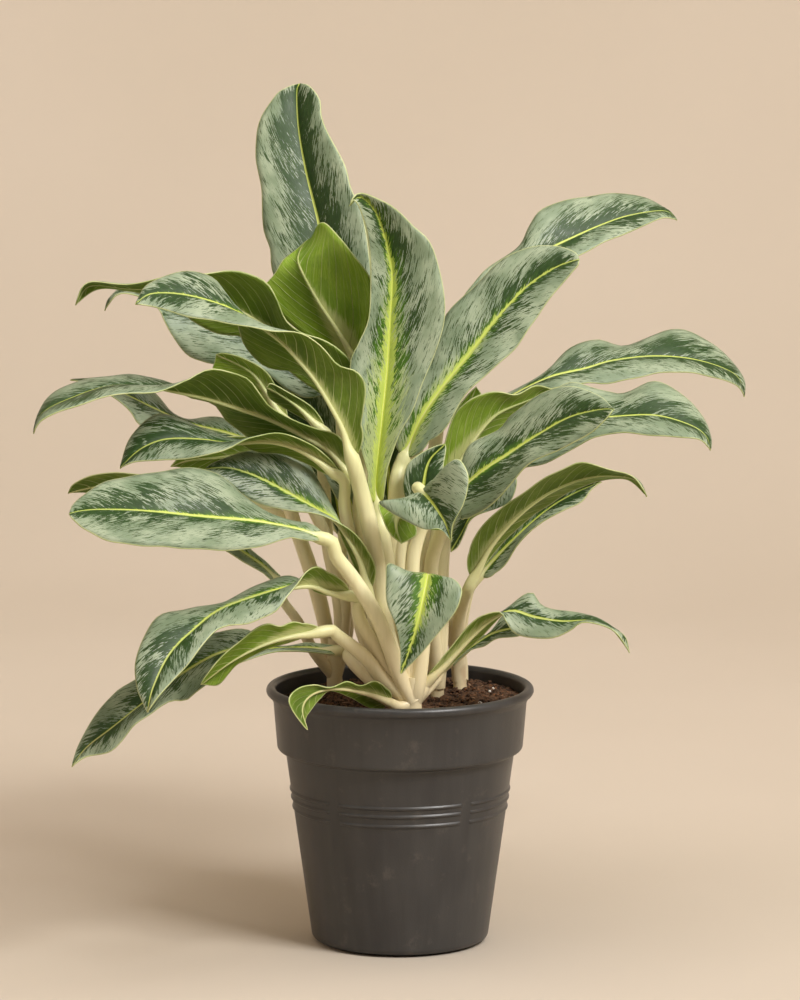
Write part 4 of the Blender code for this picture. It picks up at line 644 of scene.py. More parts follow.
        "-17 20.2, -18.9 18.7, -20.3 17.8, -21.8 16, -22.9 14",
        (-1.1, 1.1),
    ),
    "leaf_19": (
        "-6.2 22.6, -7.5 22.95, -8.5 22.65, -9.5 22.8, -11 21.9, -12.8 20.3, -13.7 19.2",
        "-5.8 22.25 -6.2, -8 21.9 -6.4, -10 21.2 -6.6, -12 20.1 -6.8, -14.2 18.45 -7",
        "-6.3 21.95, -8 21.4, -9.7 20.9, -11.5 19.9, -12.2 19.2, -13 18.35",
        (-0.7, 0.5),
    ),
    "leaf_20": (
        "-0.6 17.2, -1 18.2, -1.8 18.7, -2.8 18.35, -3.8 18.65, -5 18.2, -6 18.4, -7.2 18.2, "
        "-7.9 17.4, -7.6 16.4",
        "-0.8 17.2 -6.4, -2 17.7 -7, -3.5 18.1 -7.8, -5 18.15 -8.8, -6.4 17.6 -10, "
        "-7 16.6 -10.8, -6.65 15.1 -11.2",
        "-1.1 16.7, -1.6 16.5, -2.6 16.9, -3.6 17.5, -5 17.95, -5.7 17.35, -6.3 16.6, "
        "-6.75 15.9",
        (-0.8, 0.6),
    ),
    "leaf_21": (
        "4 45.5, 6 48, 8.2 49.5, 9 51, 10 52.3, 12 52.95, 15 53.35, 17 53.1, 18.6 52.3",
        "4 44.5 8.5, 7 47.3 8.8, 10 49.2 9, 12 50.2 9, 14 51.1 9, 16 51.8 8.8, 18.5 52.15 8.4, "
        "19.45 51.5 8",
        "4.6 44, 7.5 46, 10 47.6, 12.6 49, 14.5 50, 16.5 50.8, 18.3 51.6",
        (1.5, -1.5),
    ),
    "leaf_22": (
        "-0.2 35.3, -0.5 36.7, 0.7 39, 2 41.5, 2.8 43.8, 3.4 45.1, 5 46.6, 7 48.6, 9 49.55, "
        "11 49.65, 12.3 49.2",
        "0.3 34.8 2, 1.5 37.5 2.3, 3 39.7 2.8, 5 42.2 3.3, 7 44.8 3.6, 9 46.9 3.6, "
        "11 48.2 3.2, 12.55 48.75 2.6",
        "0.6 35.1, 1.2 35.5, 2.5 36.1, 3.4 37, 4.5 39, 6 40.5, 8 42.3, 9.2 44, 10.5 45.9, "
        "12 47.7, 12.5 48.3",
        (1.5, -1.5),
    ),
    "leaf_23": (
        "5.5 38.3, 8.2 39.6, 10 40.6, 12 42.5, 13.7 43.05, 15.5 42.65, 17 43, 19 43.8, "
        "21 43.35, 23 41.9, 24.2 40.3",
        "5.5 37.5 7.5, 8 39.2 7.3, 10.5 40.4 7, 13 41 6.8, 15 41.6 6.6, 18 41.9 6.4, "
        "21 41.6 6.2, 23.6 40.6 6, 24.3 39.0 5.8",
        "6 37, 8 38.4, 10.5 39.5, 13 39.95, 15 40, 18 40.65, 20 40.75, 22 40.4, 23.7 39.8",
        (1.3, -1.3),
    ),
    "leaf_24": (
        "6.5 35.5, 8.5 37.3, 10 39, 11.5 39.85, 12.5 40, 14.5 39.4, 15.7 39.25, 17.8 40.1, "
        "19.8 39.25, 21.4 37.5, 21.95 36.1",
        "6 34.5 1, 8.5 35.7 1, 11 36.9 0.8, 13 37.4 0.6, 15 37.6 0.4, 18 37.7 0, 20.5 37 -0.4, "
        "21.6 36.2 -0.6, 21.95 35.2 -0.8",
        "6.5 33.5, 8.8 33.95, 10.5 34.35, 12.5 35.5, 14 36.2, 15.5 36.45, 18.5 36.2, 21 36",
        (1.4, -1.4),
    ),
    "leaf_25": (
        "3.8 32.6, 4.2 34, 5 35.7, 7 36.7, 8 37.9, 10.3 39.4, 12 39.75, 14 39.1",
        "4 32 -4.5, 4.8 32.9 -4.6, 6 33.9 -4.8, 8 35.2 -5, 10 36.5 -5.2, 12 37.6 -5.5, "
        "14 38.1 -6, 15.05 38.15 -6.4",
        "4.2 31.5, 4.4 30.4, 5.2 30.5, 7 31.8, 8.6 33.8, 10 34.7, 12 35.6, 13.5 36.5, "
        "14.5 37.4",
        (1.7, -1.7),
    ),
    "leaf_26": (
        "3.9 33.2, 5.2 34.6, 6.8 36, 8.5 37, 10 38, 11 38.8",
        "3.4 33 3.4, 4.5 35 3.4, 5.6 36.6 3.5, 6.8 37.8 3.6, 8.5 38.6 3.8, 10 39.1 4, "
        "11.5 39.2 4.2",
        "2.7 33.7, 3 35.2, 3.4 36.7, 4 38, 5 38.9, 6.2 39.3, 7.1 39.35, 8.2 39.2, 9.5 39.8, "
        "10.6 39.6",
        (0.9, -0.9),
    ),
    "leaf_27": (
        "4.2 35.5, 5 37, 5.5 38.3, 5.75 39.1",
        "3.6 35 5.4, 4.2 37 5.4, 4.8 38.4 5.4, 5.35 39.75 5.4",
        "3.3 35.8, 3.7 37.2, 4.05 38.2, 4.7 39.1",
        (-0.3, -0.3),
    ),
    "leaf_28": (
        "0.4 31.5, 0.2 32.8, 0.55 34.2, 1.5 35, 2.5 35.5",
        "1.6 31.2 0, 1.7 33 0.2, 2.1 34.5 0.5, 3.2 35.65 0.8",
        "2.6 31.5, 3 32.8, 3.1 34.2, 3.25 35.2",
        (-0.4, -0.4),
    ),
    "leaf_29": (
        "1.95 32.6, 3 33.9, 4.1 34.55, 4.75 33.6, 4.75 32.5, 4.4 31.2, 3.75 30",
        "1.5 32.3 -6.2, 2 31.8 -7.2, 2.6 31 -8.2, 3.2 30 -9, 3.6 28.75 -9.5",
        "1 32, -0.2 31.7, -1.5 31.55, -1 31, 0.2 30.25, 1.7 29.55, 2.8 29.6",
        (-0.4, -0.2),
    ),
    "leaf_30": (
        "2.4 26, 3.6 26.1, 4.3 25.5, 4.35 24.8, 3.9 23.6, 2.8 22.2, 1.4 20.5, 0.4 19.5",
        "2 25.9 -6.8, 2 26.4 -8, 1.7 24.9 -9.2, 1.3 23 -10, 0.7 21 -10.4, 0.05 19.15 -10.6",
        "1.6 26.1, 0.3 26.7, -0.85 27.1, -1 26, -0.95 24.3, -0.3 22.6, 0 21, 0.02 19.8",
        (-0.4, -0.4),
    ),
    "leaf_31": (
        "5.5 26.3, 6.9 28.2, 8.7 30, 10.6 31.4, 12.3 32.4, 14 33, 16 33.15",
        "5.2 26.2 -1.5, 6.3 28.3 -1.6, 8 30.3 -1.8, 10 31.9 -2, 12 32.9 -2.2, 14 33.4 -2.4, "
        "16 33.35 -2.6, 17 32.9 -2.7, 17.5 31.9 -2.8",
        "4.95 26.6, 4.85 27.8, 5.2 28.9, 6.2 30.3, 8 31.7, 10 33.1, 12 34.15, 13.2 34.3, "
        "15 33.8, 16.5 33.3",
        (1, -0.9),
    ),
    "leaf_32": (
        "2.5 18.8, 4.1 20.3, 5.7 21.8, 7 23.2, 8 24.3, 9.3 25.05, 10 24.2, 11 23.8, 13 23.55, "
        "14.7 22.8",
        "2.2 18.9 -5, 3.6 20.4 -5, 5.2 22.1 -5, 6.6 23.3 -5, 8 23.75 -5, 9.5 23.3 -5, "
        "11.5 23 -5, 13.5 23.05 -5, 15 22.55 -5, 16 21.9 -5, 16.35 20.7 -5",
        "1.9 19, 3.1 20.5, 4.6 22.4, 5.8 23.4, 7.1 23.65, 7.6 22.8, 8.3 22, 10.5 21.7, "
        "12 22.3, 13 22.9, 15 22.4",
        (0.8, -0.8),
    ),
    "leaf_33": (
        "7.5 33.8, 8.25 33.1, 7.9 31.7, 7 31.1, 5.6 30.7, 4.95 30.2, 4.6 29.4, 4.1 28.3",
        "6.5 33.5 -1, 6 32 -1.3, 5 30.5 -1.6, 4.3 29.2 -1.8, 3.55 27.95 -2",
        "5.8 33.5, 4.8 32, 4 30.5, 3.6 29",
        (-0.3, 0.2),
    ),
    "leaf_34": (
        "-3.3 30, -4.4 31.6, -5.3 33.3, -6.2 34.9",
        "-3.1 29.8 0.7, -3.5 31.5 0.5, -4.3 33.3 -0.3, -5.5 34.8 -1.1, -7 36 -1.4",
        "-3 30.4, -3.2 32, -3.7 33.8, -4.8 35.4",
        (-0.2, 0.2),
    ),
    "leaf_35": (
        "-2.35 31.2, -2.4 30, -2.6 28.4, -3.2 27",
        "-2.5 31.8 -1.1, -2.8 30 -1.1, -3.1 28.3 -1.2, -3.7 26.2 -1.3",
        "-2.9 31.6, -3.3 30, -3.7 28.3, -3.9 27",
        (-0.2, 0.2),
    ),
    "leaf_36": (
        "0.2 31.3, -1.5 31.45, -1.2 30.2, -0.7 29.2",
        "0.5 31.1 -5.3, -0.2 30.4 -5.6, -0.3 29.6 -6, 0.1 28.5 -6.4",
        "0.85 30.6, 1.1 30, 1.2 29.2, 0.7 28.8",
        (-0.2, -0.2),
    ),
    "leaf_37": (
        "5.5 27, 6.8 28.8, 8.5 30.6, 10.3 32, 12.3 32.9",
        "5.7 26.3 1, 7 27.8 1, 8.6 29.4 0.9, 10.3 30.9 0.8, 12 32 0.7, 14.2 33 0.6",
        "6 25.95, 7.3 26.85, 8.3 28.4, 9.5 29.7, 11.5 30.9, 12.8 31.5, 13.5 32.4",
        (0.8, -0.8),
    ),
    "leaf_38": (
        "4.2 20.7, 5.6 21.9, 6.4 22.1, 7.3 23.4, 8.5 23.6",
        "3.6 20 -3.4, 5.2 21.3 -3.4, 6.8 22.2 -3.4, 9.5 22.7 -3.4",
        "4 20, 5 20.85, 6 21.15, 6.9 21.7, 8.5 21.9",
        (0.2, -0.2),
    ),
    "leaf_39": (
        "-4.6 29.6, -5.3 31.6, -6.5 34.4, -8.2 37.4, -9.5 39.7",
        "-4.1 29.3 4, -4.5 32 4, -5.3 35 4, -6.8 38 4.1, -8.4 40.4 4.3, -9.7 41.6 4.6",
        "-3.7 29.6, -3.7 32, -3.9 34.5, -4.4 37, -5.4 39.6, -7.3 41.4",
        (-0.3, -0.3),
    ),
    "leaf_40": (
        "-1.1 30.8, -1.9 33, -2.2 36, -1.9 39, -1.4 40.8",
        "-0.7 30.6 3.2, -0.8 33 3.3, -0.9 36 3.4, -0.9 39 3.6, -0.9 41.5 4",
        "-0.4 30.8, 0.1 33, 0.3 36, 0 39, -0.5 40.8",
        (-0.3, -0.3),
    ),
}
# Where the shoots stand: x, y, radius at the foot, and height, in centimetres.
CANES = {
    1: (0.9, -5.6, 0.80, 20.0),
    2: (-4.7, 4.4, 0.70, 21.0),
    3: (4.3, 3.3, 0.60, 20.5),
    4: (-1.2, -0.5, 0.85, 21.0),
    5: (0.9, 5.4, 0.75, 22.0),
    6: (2.65, 0.5, 0.60, 21.0),
}
# Leaves that only show from behind: heading, height, distance out, length, climb, climb at the tip, half width.
BACK_LEAVES = {
    "leaf_back_1": (50, 31.6, 6.4, 18.3, 60, -47, 3.3),
    "leaf_back_2": (85, 35.8, 5.1, 19.8, 48, -35, 3.6),
    "leaf_back_3": (111, 34.6, 7.0, 17.8, 43, -34, 3.3),
    "leaf_back_4": (70, 27.3, 5.6, 17.0, 50, -43, 3.1),
    "leaf_back_5": (100, 25.5, 5.8, 16.1, 35, -43, 3.2),
    "leaf_back_6": (147, 28.8, 7.0, 17.5, 30, -50, 3.1),
    "leaf_back_7": (98, 37.2, 3.5, 14.7, 70, 9, 3.0),
}
BACK_SHOOT = 5
BACK_WAVE = 0.35
BACK_WAVES = 9.0
BACK_TROUGH = 0.22
BACK_BROAD_PLACE = 0.8
BACK_BROAD_POWER = 0.75
# How a leaf is coloured: the width of its yellow flush, how much darker green it has than usual, and how
# brightly its underside glows, which is painted light shining through the blade, each 0 to 1 or so.
USUAL_TONE = (0.35, 0.0, 0.3)
LEAF_TONES = {
    "leaf_01": (0.12, 0.13, 0.3),
    "leaf_02": (1.5, -0.06, 0.8),
    "leaf_03": (0.6, 0.1, 1.0),
    "leaf_04": (0.55, 0.0, 0.35),
    "leaf_05": (0.3, 0.1, 0.4),
    "leaf_06": (0.3, 0.0, 0.4),
    "leaf_08": (0.3, 0.0, 1.0),
    "leaf_09": (0.3, 0.0, 0.25),
    "leaf_11": (0.35, 0.12, 0.4),
    "leaf_12": (0.3, 0.0, 0.6),
    "leaf_13": (0.7, -0.05, 0.3),
    "leaf_14": (0.45, 0.02, 0.3),
    "leaf_17": (0.45, -0.05, 0.5),
    "leaf_19": (0.4, 0.05, 0.7),
    "leaf_20": (0.3, 0.0, 0.35),
    "leaf_21": (0.2, 0.05, 0.3),
    "leaf_22": (0.75, -0.02, 0.3),
    "leaf_23": (0.3, 0.05, 0.3),
    "leaf_24": (0.25, 0.0, 0.3),
    "leaf_25": (0.5, 0.1, 0.3),
    "leaf_26": (0.3, 0.0, 0.75),
    "leaf_27": (0.5, 0.0, 1.0),
    "leaf_28": (0.1, 0.25, 0.2),
    "leaf_29": (0.1, -0.1, 0.6),
    "leaf_30": (1.0, 0.0, 0.5),
    "leaf_31": (0.2, 0.0, 0.3),
    "leaf_32": (0.2, 0.0, 0.4),
    "leaf_33": (0.1, 0.15, 0.2),
    "leaf_34": (0.3, 0.1, 0.4),
    "leaf_35": (0.5, 0.1, 0.6),
    "leaf_36": (0.3, 0.0, 0.8),
    "leaf_38": (0.3, 0.0, 0.5),
    # leaf_39 and leaf_40 stand deep inside the plant: their extra dark green is painted shade.
    "leaf_39": (0.1, 0.4, 0.0),
    "leaf_40": (0.1, 0.4, 0.0),
}


def points(text):
    return np.array([[float(number) for number in place.split()] for place in text.split(",")])


def unit(vectors):
    return vectors / np.linalg.norm(vectors, axis=-1, keepdims=True)


def smooth_line(marks, fractions):
    """The line through the marks, read at fractions of its length."""
    ends = np.vstack([2 * marks[0] - marks[1], marks, 2 * marks[-1] - marks[-2]])
    line = []
    for a, b, c, d in zip(ends, ends[1:], ends[2:], ends[3:]):
        for t in np.linspace(0.0, 1.0, CURVE_STEPS, endpoint=False):
            bend = 2 * a - 5 * b + 4 * c - d
            line.append(0.5 * (2 * b + (c - a) * t + bend * t**2 + (3 * b - a - 3 * c + d) * t**3))
    line.append(marks[-1])
    line = np.array(line)
    lengths = np.linalg.norm(np.diff(line[:, :2], axis=0), axis=1)
    run = np.concatenate([[0.0], np.cumsum(lengths)])
    return np.stack([np.interp(fractions, run / run[-1], column) for column in line.T], axis=1)


def in_space(places):
    """Front-view places (x, z, depth) slid along the line of sight to their depth, in centimetres."""
    depths = places[:, 2] * (1 + (np.abs(places[:, 0]) / FAN_REACH) ** FAN_POWER)
    reach = (depths - EYE[1]) / -EYE[1]
    heights = EYE[2] + (places[:, 1] - EYE[2]) * reach
    return np.stack([places[:, 0] * reach, depths, heights], axis=1)


def rows_of(count):
    """Fractions of a leaf's length, closer together towards its foot and its tip."""
    even = np.linspace(0.0, 1.0, count)
    return even - END_CROWDING * np.sin(2 * np.pi * even)


def front_leaf(left, rib, right, lean):
    """Margin, midrib and margin of a leaf in space, row by row, in centimetres."""
    fractions = rows_of(LEAF_ROWS)
    middle = smooth_line(points(rib), fractions)
    swell = np.sin(np.pi * fractions) ** LEAN_POWER
    sides = []
    for outline, offset in ((left, lean[0]), (right, lean[1])):
        marks = np.vstack([points(outline)[:, :2], middle[-1, :2]])
        flat = smooth_line(marks, fractions)
        sides.append(in_space(np.column_stack([flat, middle[:, 2] + offset * swell])))
    return sides[0], in_space(middle), sides[1]


def back_leaf(heading, height, distance, length, climb, tip_climb, half_width):
    """Margin, midrib and margin of a leaf that arches away from the back shoot."""
    fractions = rows_of(LEAF_ROWS)
    turn = math.radians(heading)
    outward = np.array([math.cos(turn), math.sin(turn), 0.0])
    across = np.array([math.sin(turn), -math.cos(turn), 0.0])
    overhead = np.array([0.0, 0.0, 1.0])
    climbs = np.radians(climb + (tip_climb - climb) * fractions)
    steps = np.diff(fractions) * length
    middle = [np.array([CANES[BACK_SHOOT][0], CANES[BACK_SHOOT][1], height]) + distance * outward]
    for step, angle in zip(steps, (climbs[1:] + climbs[:-1]) / 2):
        middle.append(middle[-1] + step * (math.cos(angle) * outward + math.sin(angle) * overhead))
    middle = np.array(middle)
    upper = -np.sin(climbs)[:, None] * outward + np.cos(climbs)[:, None] * overhead
    broad = half_width * np.sin(np.pi * fractions**BACK_BROAD_PLACE) ** BACK_BROAD_POWER
    wave = BACK_WAVE * np.sin(fractions * BACK_WAVES + heading) * broad / half_width
    left = middle - broad[:, None] * across + (BACK_TROUGH * broad + wave)[:, None] * upper
    right = middle + broad[:, None] * across + (BACK_TROUGH * broad - wave)[:, None] * upper
    return left, middle, right


def leaf_frame(left, middle, right):
    """The directions along a leaf and out of its upper face, and how far each row lies from the foot."""
    along = unit(np.gradient(middle, axis=0))
    upper = unit(np.cross(right - left + 1e-6, along))
    upper[-1] = upper[-2]
    upper[0] = upper[1]
    for _ in range(3):
        upper[1:-1] = unit(upper[:-2] + 2 * upper[1:-1] + upper[2:])
    upper = unit(upper - along * (upper * along).sum(axis=1, keepdims=True))
    run = np.concatenate([[0.0], np.cumsum(np.linalg.norm(np.diff(middle, axis=0), axis=1))])
    return along, upper, run


def round_foot(side, middle, foot, shares):
    """Draws the first stretch of a margin in to the stalk, so that the blade starts with a round shoulder."""
    end = np.searchsorted(shares, FOOT_SHARE)
    out = side[end] - middle[end]
    for row in range(end):
        grow = math.sin(0.5 * math.pi * shares[row] / shares[end]) ** FOOT_ROUNDNESS
        side[row] = middle[row] + foot * (1 - grow) + out * grow


def leaf_blade(name, number, left, middle, right):
    """A leaf blade from a grid of LEAF_ROWS by LEAF_COLUMNS, bent to its two margins and its midrib."""
    along, upper, run = leaf_frame(left, middle, right)
    shares = run / run[-1]
    foot = np.cross(along[0], upper[0]) * BLADE_FOOT_HALF_WIDTH * MM / CM
    round_foot(left, middle, -foot, shares)
    round_foot(right, middle, foot, shares)
    bpy.ops.mesh.primitive_grid_add(x_subdivisions=LEAF_COLUMNS, y_subdivisions=LEAF_ROWS - 1, size=2)
    blade = bpy.context.object
    blade.name = name
    place = np.empty((len(blade.data.vertices), 3))
    extent = np.empty((len(blade.data.vertices), 3))
    for vertex in blade.data.vertices:
        across = math.copysign(abs(vertex.co.x) ** COLUMN_CROWDING, vertex.co.x)
        row = round((vertex.co.y + 1) / 2 * (LEAF_ROWS - 1))
        half = (right if across > 0 else left)[row] - middle[row]
        width = np.linalg.norm(half)
        share = abs(across)
        arch = 4 * share * (1 - share) * HALF_ARCH * width
        beat = run[row] * EDGE_WAVES + number * EDGE_PHASE + (across > 0) * EDGE_SIDE_PHASE
        ripple = EDGE_RIPPLE * math.sin(beat) * share**EDGE_POWER * min(1.0, width / FULL_RIPPLE_WIDTH)
        groove = -MIDRIB_GROOVE * math.exp(-((share * width / MIDRIB_GROOVE_WIDTH) ** 2))
        lift = arch + ripple * math.sin(math.pi * shares[row]) + groove
        vertex.co = Vector(middle[row] + half * share + lift * upper[row]) * CM
        place[vertex.index] = (math.copysign(share * width, across), run[row], number)
        extent[vertex.index] = (across, shares[row], width)
    tone = np.tile(LEAF_TONES.get(name, USUAL_TONE), (len(place), 1))
    for attribute, values in (("leaf_place", place), ("leaf_share", extent), ("leaf_tone", tone)):
        made = blade.data.attributes.new(attribute, "FLOAT_VECTOR", "POINT")
        made.data.foreach_set("vector", values.ravel())
    bpy.ops.object.mode_set(mode="EDIT")
    bpy.ops.mesh.select_all(action="SELECT")
    bpy.ops.mesh.remove_doubles(threshold=0.02 * MM)
    bpy.ops.object.mode_set(mode="OBJECT")
    facing = sum((face.normal * face.area for face in blade.data.polygons), Vector())
    if facing.dot(Vector((upper * np.linalg.norm(right - left, axis=1)[:, None]).sum(axis=0))) < 0:
        bpy.ops.object.mode_set(mode="EDIT")
        bpy.ops.mesh.select_all(action="SELECT")
        bpy.ops.mesh.flip_normals()
        bpy.ops.object.mode_set(mode="OBJECT")
    for look in (leaf_upper, leaf_under, leaf_margin):
        blade.data.materials.append(look)
    thickness = blade.modifiers.new("thickness", "SOLIDIFY")
    thickness.thickness = BLADE * MM
    thickness.offset = -1.0
    thickness.material_offset = 1
    thickness.material_offset_rim = 2
    bpy.ops.object.modifier_apply(modifier=thickness.name)
    bpy.ops.object.shade_smooth()
    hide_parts(name)
    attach(blade, "root")
    blade.name = f"{name}_blade"
    return along, upper, run


def leaf_pattern(look):
    """Masks of the leaf's markings, laid along its side veins, which lean towards the tip."""
    place = look.node("ShaderNodeAttribute", {"attribute_name": "leaf_place"}, output=1)
    extent = look.node("ShaderNodeAttribute", {"attribute_name": "leaf_share"}, output=1)
    tone = look.node("ShaderNodeAttribute", {"attribute_name": "leaf_tone"}, output=1)
    across, run, number = (look.part(place, axis) for axis in range(3))
    side, along, width = (look.part(extent, axis) for axis in range(3))
    flush_tone, dark_tone, under_glow_tone = (look.part(tone, axis) for axis in range(3))
    away = look.node("ShaderNodeMath", {"operation": "ABSOLUTE"}, across)
    edge = look.node("ShaderNodeMath", {"operation": "ABSOLUTE"}, side)
    seed = number * 7.31 + look.step(across, -0.01, 0.01) * 3.3
    broad = look.grain(look.vector((run - away) * 0.5, away * 0.5, seed), 1.0, 2.0)
    vein = run - away * 1.5 - away * away * 0.2 + (broad - 0.5) * 0.8
    streaks = look.grain(look.vector(vein * 4.6, away * 2.1, seed + 11.0), 1.0, 3.0, 0.55)
    flecks = look.grain(look.vector(vein * 11.0, away * 5.5, seed + 23.0), 1.0, 2.0, 0.5)
    spots = look.grain(look.vector(vein * 7.5, away * 4.2, seed + 37.0), 1.0, 1.0, 0.4)
    reach = 0.34 + dark_tone + look.step(along, 0.5, 1.0) * 0.25 - look.step(along, 0.0, 0.25, 0.1, 0.0)
    dark = reach - edge + (streaks - 0.5) * 2.7 + (broad - 0.5) * 2.0 + (flecks - 0.5) * 1.2
    feather = look.step(dark, -0.03, 0.06)
    ink = look.step(spots + look.step(edge, 0.8, 1.0) * 0.025, 0.645, 0.67)
    fading = look.step(along, 0.25, 1.0, 1.0, 0.12)
    flush = look.step(flush_tone * fading * 0.42 - away + (streaks - 0.5) * 1.1 * flush_tone, 0.0, 0.1)
    lime = look.step(flush_tone * fading * 1.25 - away + (streaks - 0.5) * 2.2 * flush_tone, 0.0, 0.5)
    rib_width = look.step(along, 0.0, 1.0, 0.115, 0.03)
    rib = look.step(away - rib_width, 0.0, 0.04, 1.0, 0.0)
    rim = look.step((1 - edge) * width, 0.03, 0.09, 1.0, 0.0)
    return {
        "across": across, "run": run, "away": away, "edge": edge, "along": along, "seed": seed,
        "broad": broad, "streaks": streaks, "flecks": flecks, "feather": feather, "ink": ink,
        "flush": flush, "lime": lime, "rib": rib, "rim": rim, "under_glow_tone": under_glow_tone,
    }


def add_glow(look, colour, share):
    """Lets part of the light through the blade, tinted yellow-green."""
    glow = look.tree.nodes.new("ShaderNodeBsdfTranslucent")
    glow.inputs["Color"].default_value = (*colour, 1.0)
    mix = look.tree.nodes.new("ShaderNodeMixShader")
    mix.inputs[0].default_value = share
    output = look.tree.nodes["Material Output"]
    look.tree.links.new(look.shader.outputs[0], mix.inputs[1])
    look.tree.links.new(glow.outputs[0], mix.inputs[2])
    look.tree.links.new(mix.outputs[0], output.inputs["Surface"])


def upper_face():
    """Silver-green with dark feathers along the midrib, a yellow rib and flush, and a waxy sheen."""
    look = Look("leaf_upper_face", 0.42, Specular_IOR_Level=0.35)
    mark = leaf_pattern(look)
    cloud = look.grain(look.vector(mark["run"] * 0.45, mark["across"] * 0.7, mark["seed"]), 1.0, 2.0)
    silver = look.blend(look.step(cloud, 0.35, 0.65), SILVER_SHADE, SILVER)
    silver = look.blend(look.step(mark["flecks"], 0.45, 0.7) * 0.4, silver, SILVER_SHADE)
    silver = look.blend(mark["lime"] * 0.6, silver, SILVER_LIME)
    dark = look.blend(look.step(mark["flecks"], 0.35, 0.65), DARK_GREEN, DARK_GREEN_SHADE)
    dark = look.blend(mark["lime"] * 0.75, dark, DARK_LIME)
    colour = look.blend(mark["feather"], silver, dark)
    colour = look.blend(mark["ink"] * 0.85, colour, INK)
    colour = look.blend(mark["flush"] * 0.8, colour, FLUSH)
    colour = look.blend(mark["rib"] * 0.9, colour, MIDRIB)
    colour = look.blend(mark["rim"] * 0.7, colour, MARGIN)
    look.feed("Base Color", colour)
    look.feed("Roughness", look.step(cloud + mark["feather"] * 0.12, 0.3, 0.8, 0.36, 0.52))
    look.bump(mark["flecks"] * 0.35 + mark["streaks"] * 0.4, 0.0003)
    add_glow(look, GLOW, 0.16)
    return look.material


def under_face():
    """Plain green with pale side veins, a pale flush along the midrib, the markings showing through, and on some
    leaves a painted glow of light through the blade.
    """
    look = Look("leaf_under_face", 0.46, Specular_IOR_Level=0.3)
    mark = leaf_pattern(look)
    away = mark["away"]
    sweep = mark["run"] - away * 1.3 - away * away * 0.1
    ridge = look.node("ShaderNodeMath", {"operation": "PINGPONG"}, sweep + (mark["broad"] - 0.5) * 0.5, 0.5)
    strong = look.step(look.grain(look.vector(sweep * 0.9, away * 0.12, mark["seed"] + 51.0), 1.0, 1.0), 0.35, 0.6)
    line = look.step(ridge, 0.0, 0.075, 1.0, 0.0) * (strong * 0.7 + 0.3)
    deep = look.blend(look.step(mark["streaks"], 0.35, 0.65), UNDER_GREEN, UNDER_PALE)
    deep = look.blend(mark["feather"] * 0.6, deep, UNDER_DARK)
    # The bright yellow-green underside is a painted glow of light shining through the blade, mixed in leaf by
    # leaf.
    bright = look.blend(look.step(mark["streaks"], 0.35, 0.65), GLOW_UNDER_GREEN, GLOW_UNDER_PALE)
    bright = look.blend(mark["feather"] * 0.55, bright, GLOW_UNDER_DARK)
    colour = look.blend(mark["under_glow_tone"], deep, bright)
    cream_reach = look.step(mark["along"], 0.0, 0.75, 1.0, 0.0) * (mark["under_glow_tone"] * 0.9 + 0.35)
    cream = look.step(cream_reach - away + (mark["streaks"] - 0.5) * 1.0, -0.05, 0.5)
    colour = look.blend(cream * 0.75, colour, UNDER_CREAM)
    colour = look.blend(line * look.step(mark["edge"], 0.6, 1.0, 0.85, 0.3), colour, UNDER_VEIN)
    colour = look.blend(mark["rib"], colour, UNDER_CREAM)
    colour = look.blend(mark["rim"] * 0.85, colour, MARGIN)
    look.feed("Base Color", colour)
    look.bump(line + mark["flecks"] * 0.25, 0.0004)
    add_glow(look, GLOW, 0.25)
    return look.material


def margin_line():
    """The thin pale edge of the blade."""
    look = Look("leaf_margin", 0.5)
    place = look.node("ShaderNodeTexCoord", output="Object")
    look.feed("Base Color", look.blend(look.step(look.grain(place, 60.0), 0.4, 0.6), MARGIN, MARGIN_GREEN))
    add_glow(look, GLOW, 0.2)
    return look.material


SILVER = tint(164, 176, 148)
SILVER_SHADE = tint(128, 144, 116)
SILVER_LIME = tint(186, 200, 126)
DARK_GREEN = tint(54, 80, 40)
DARK_GREEN_SHADE = tint(36, 58, 28)
DARK_LIME = tint(78, 120, 28)
INK = tint(38, 52, 30)
FLUSH = tint(198, 214, 104)
MIDRIB = tint(208, 220, 96)
MARGIN = tint(212, 218, 156)
MARGIN_GREEN = tint(168, 184, 110)
UNDER_PALE = tint(106, 124, 56)
UNDER_GREEN = tint(78, 98, 34)
UNDER_DARK = tint(42, 60, 18)
# Painted glow: brighter underside greens that stand in for light shining through the blade.
GLOW_UNDER_GREEN = tint(124, 156, 36)
GLOW_UNDER_PALE = tint(160, 186, 76)
GLOW_UNDER_DARK = tint(86, 122, 20)
UNDER_CREAM = tint(204, 206, 140)
UNDER_VEIN = tint(204, 212, 140)
GLOW = tint(150, 190, 30)

leaf_upper = upper_face()
leaf_under = under_face()
leaf_margin = margin_line()
leaf_ways = {}
for number, (name, (left, rib, right, lean)) in enumerate(LEAVES.items()):
    left, middle, right = front_leaf(left, rib, right, lean)
    leaf_ways[name] = (middle, *leaf_blade(name, number, left, middle, right))
for number, (name, leaf) in enumerate(BACK_LEAVES.items()):
    left, middle, right = back_leaf(*leaf)
    leaf_ways[name] = (middle, *leaf_blade(name, number + len(LEAVES), left, middle, right))

# Shoots
# Six short fleshy canes stand in the soil, and every leaf grows from one of them on a smooth cream stalk,
# which broadens into a sheath below and runs on as the midrib under the blade. Stalk and midrib are one tube.
STALK_GAP = 0.4
STALK_DROP = 0.5
STALK_LEAD = 9.0
STALK_FOOT = 181.0
STALK_SIDES = 14
STALK_RING_SPACING = 0.45
CANE_FOOT = 110.0
CANE_TAPER = 0.7
CANE_SCAR_SPACING = 0.9
RIB_RADIUS = 1.7
RIB_TIP_RADIUS = 0.3
RIB_SINK = 0.35
RIB_FADE_LENGTH = 0.9
SHEATH_FLATNESS = 0.12
BACK_STALK = (3.8, 5.0)
BACK_KNEE_REACH = 1.6
BACK_KNEE_HEIGHT = 0.35
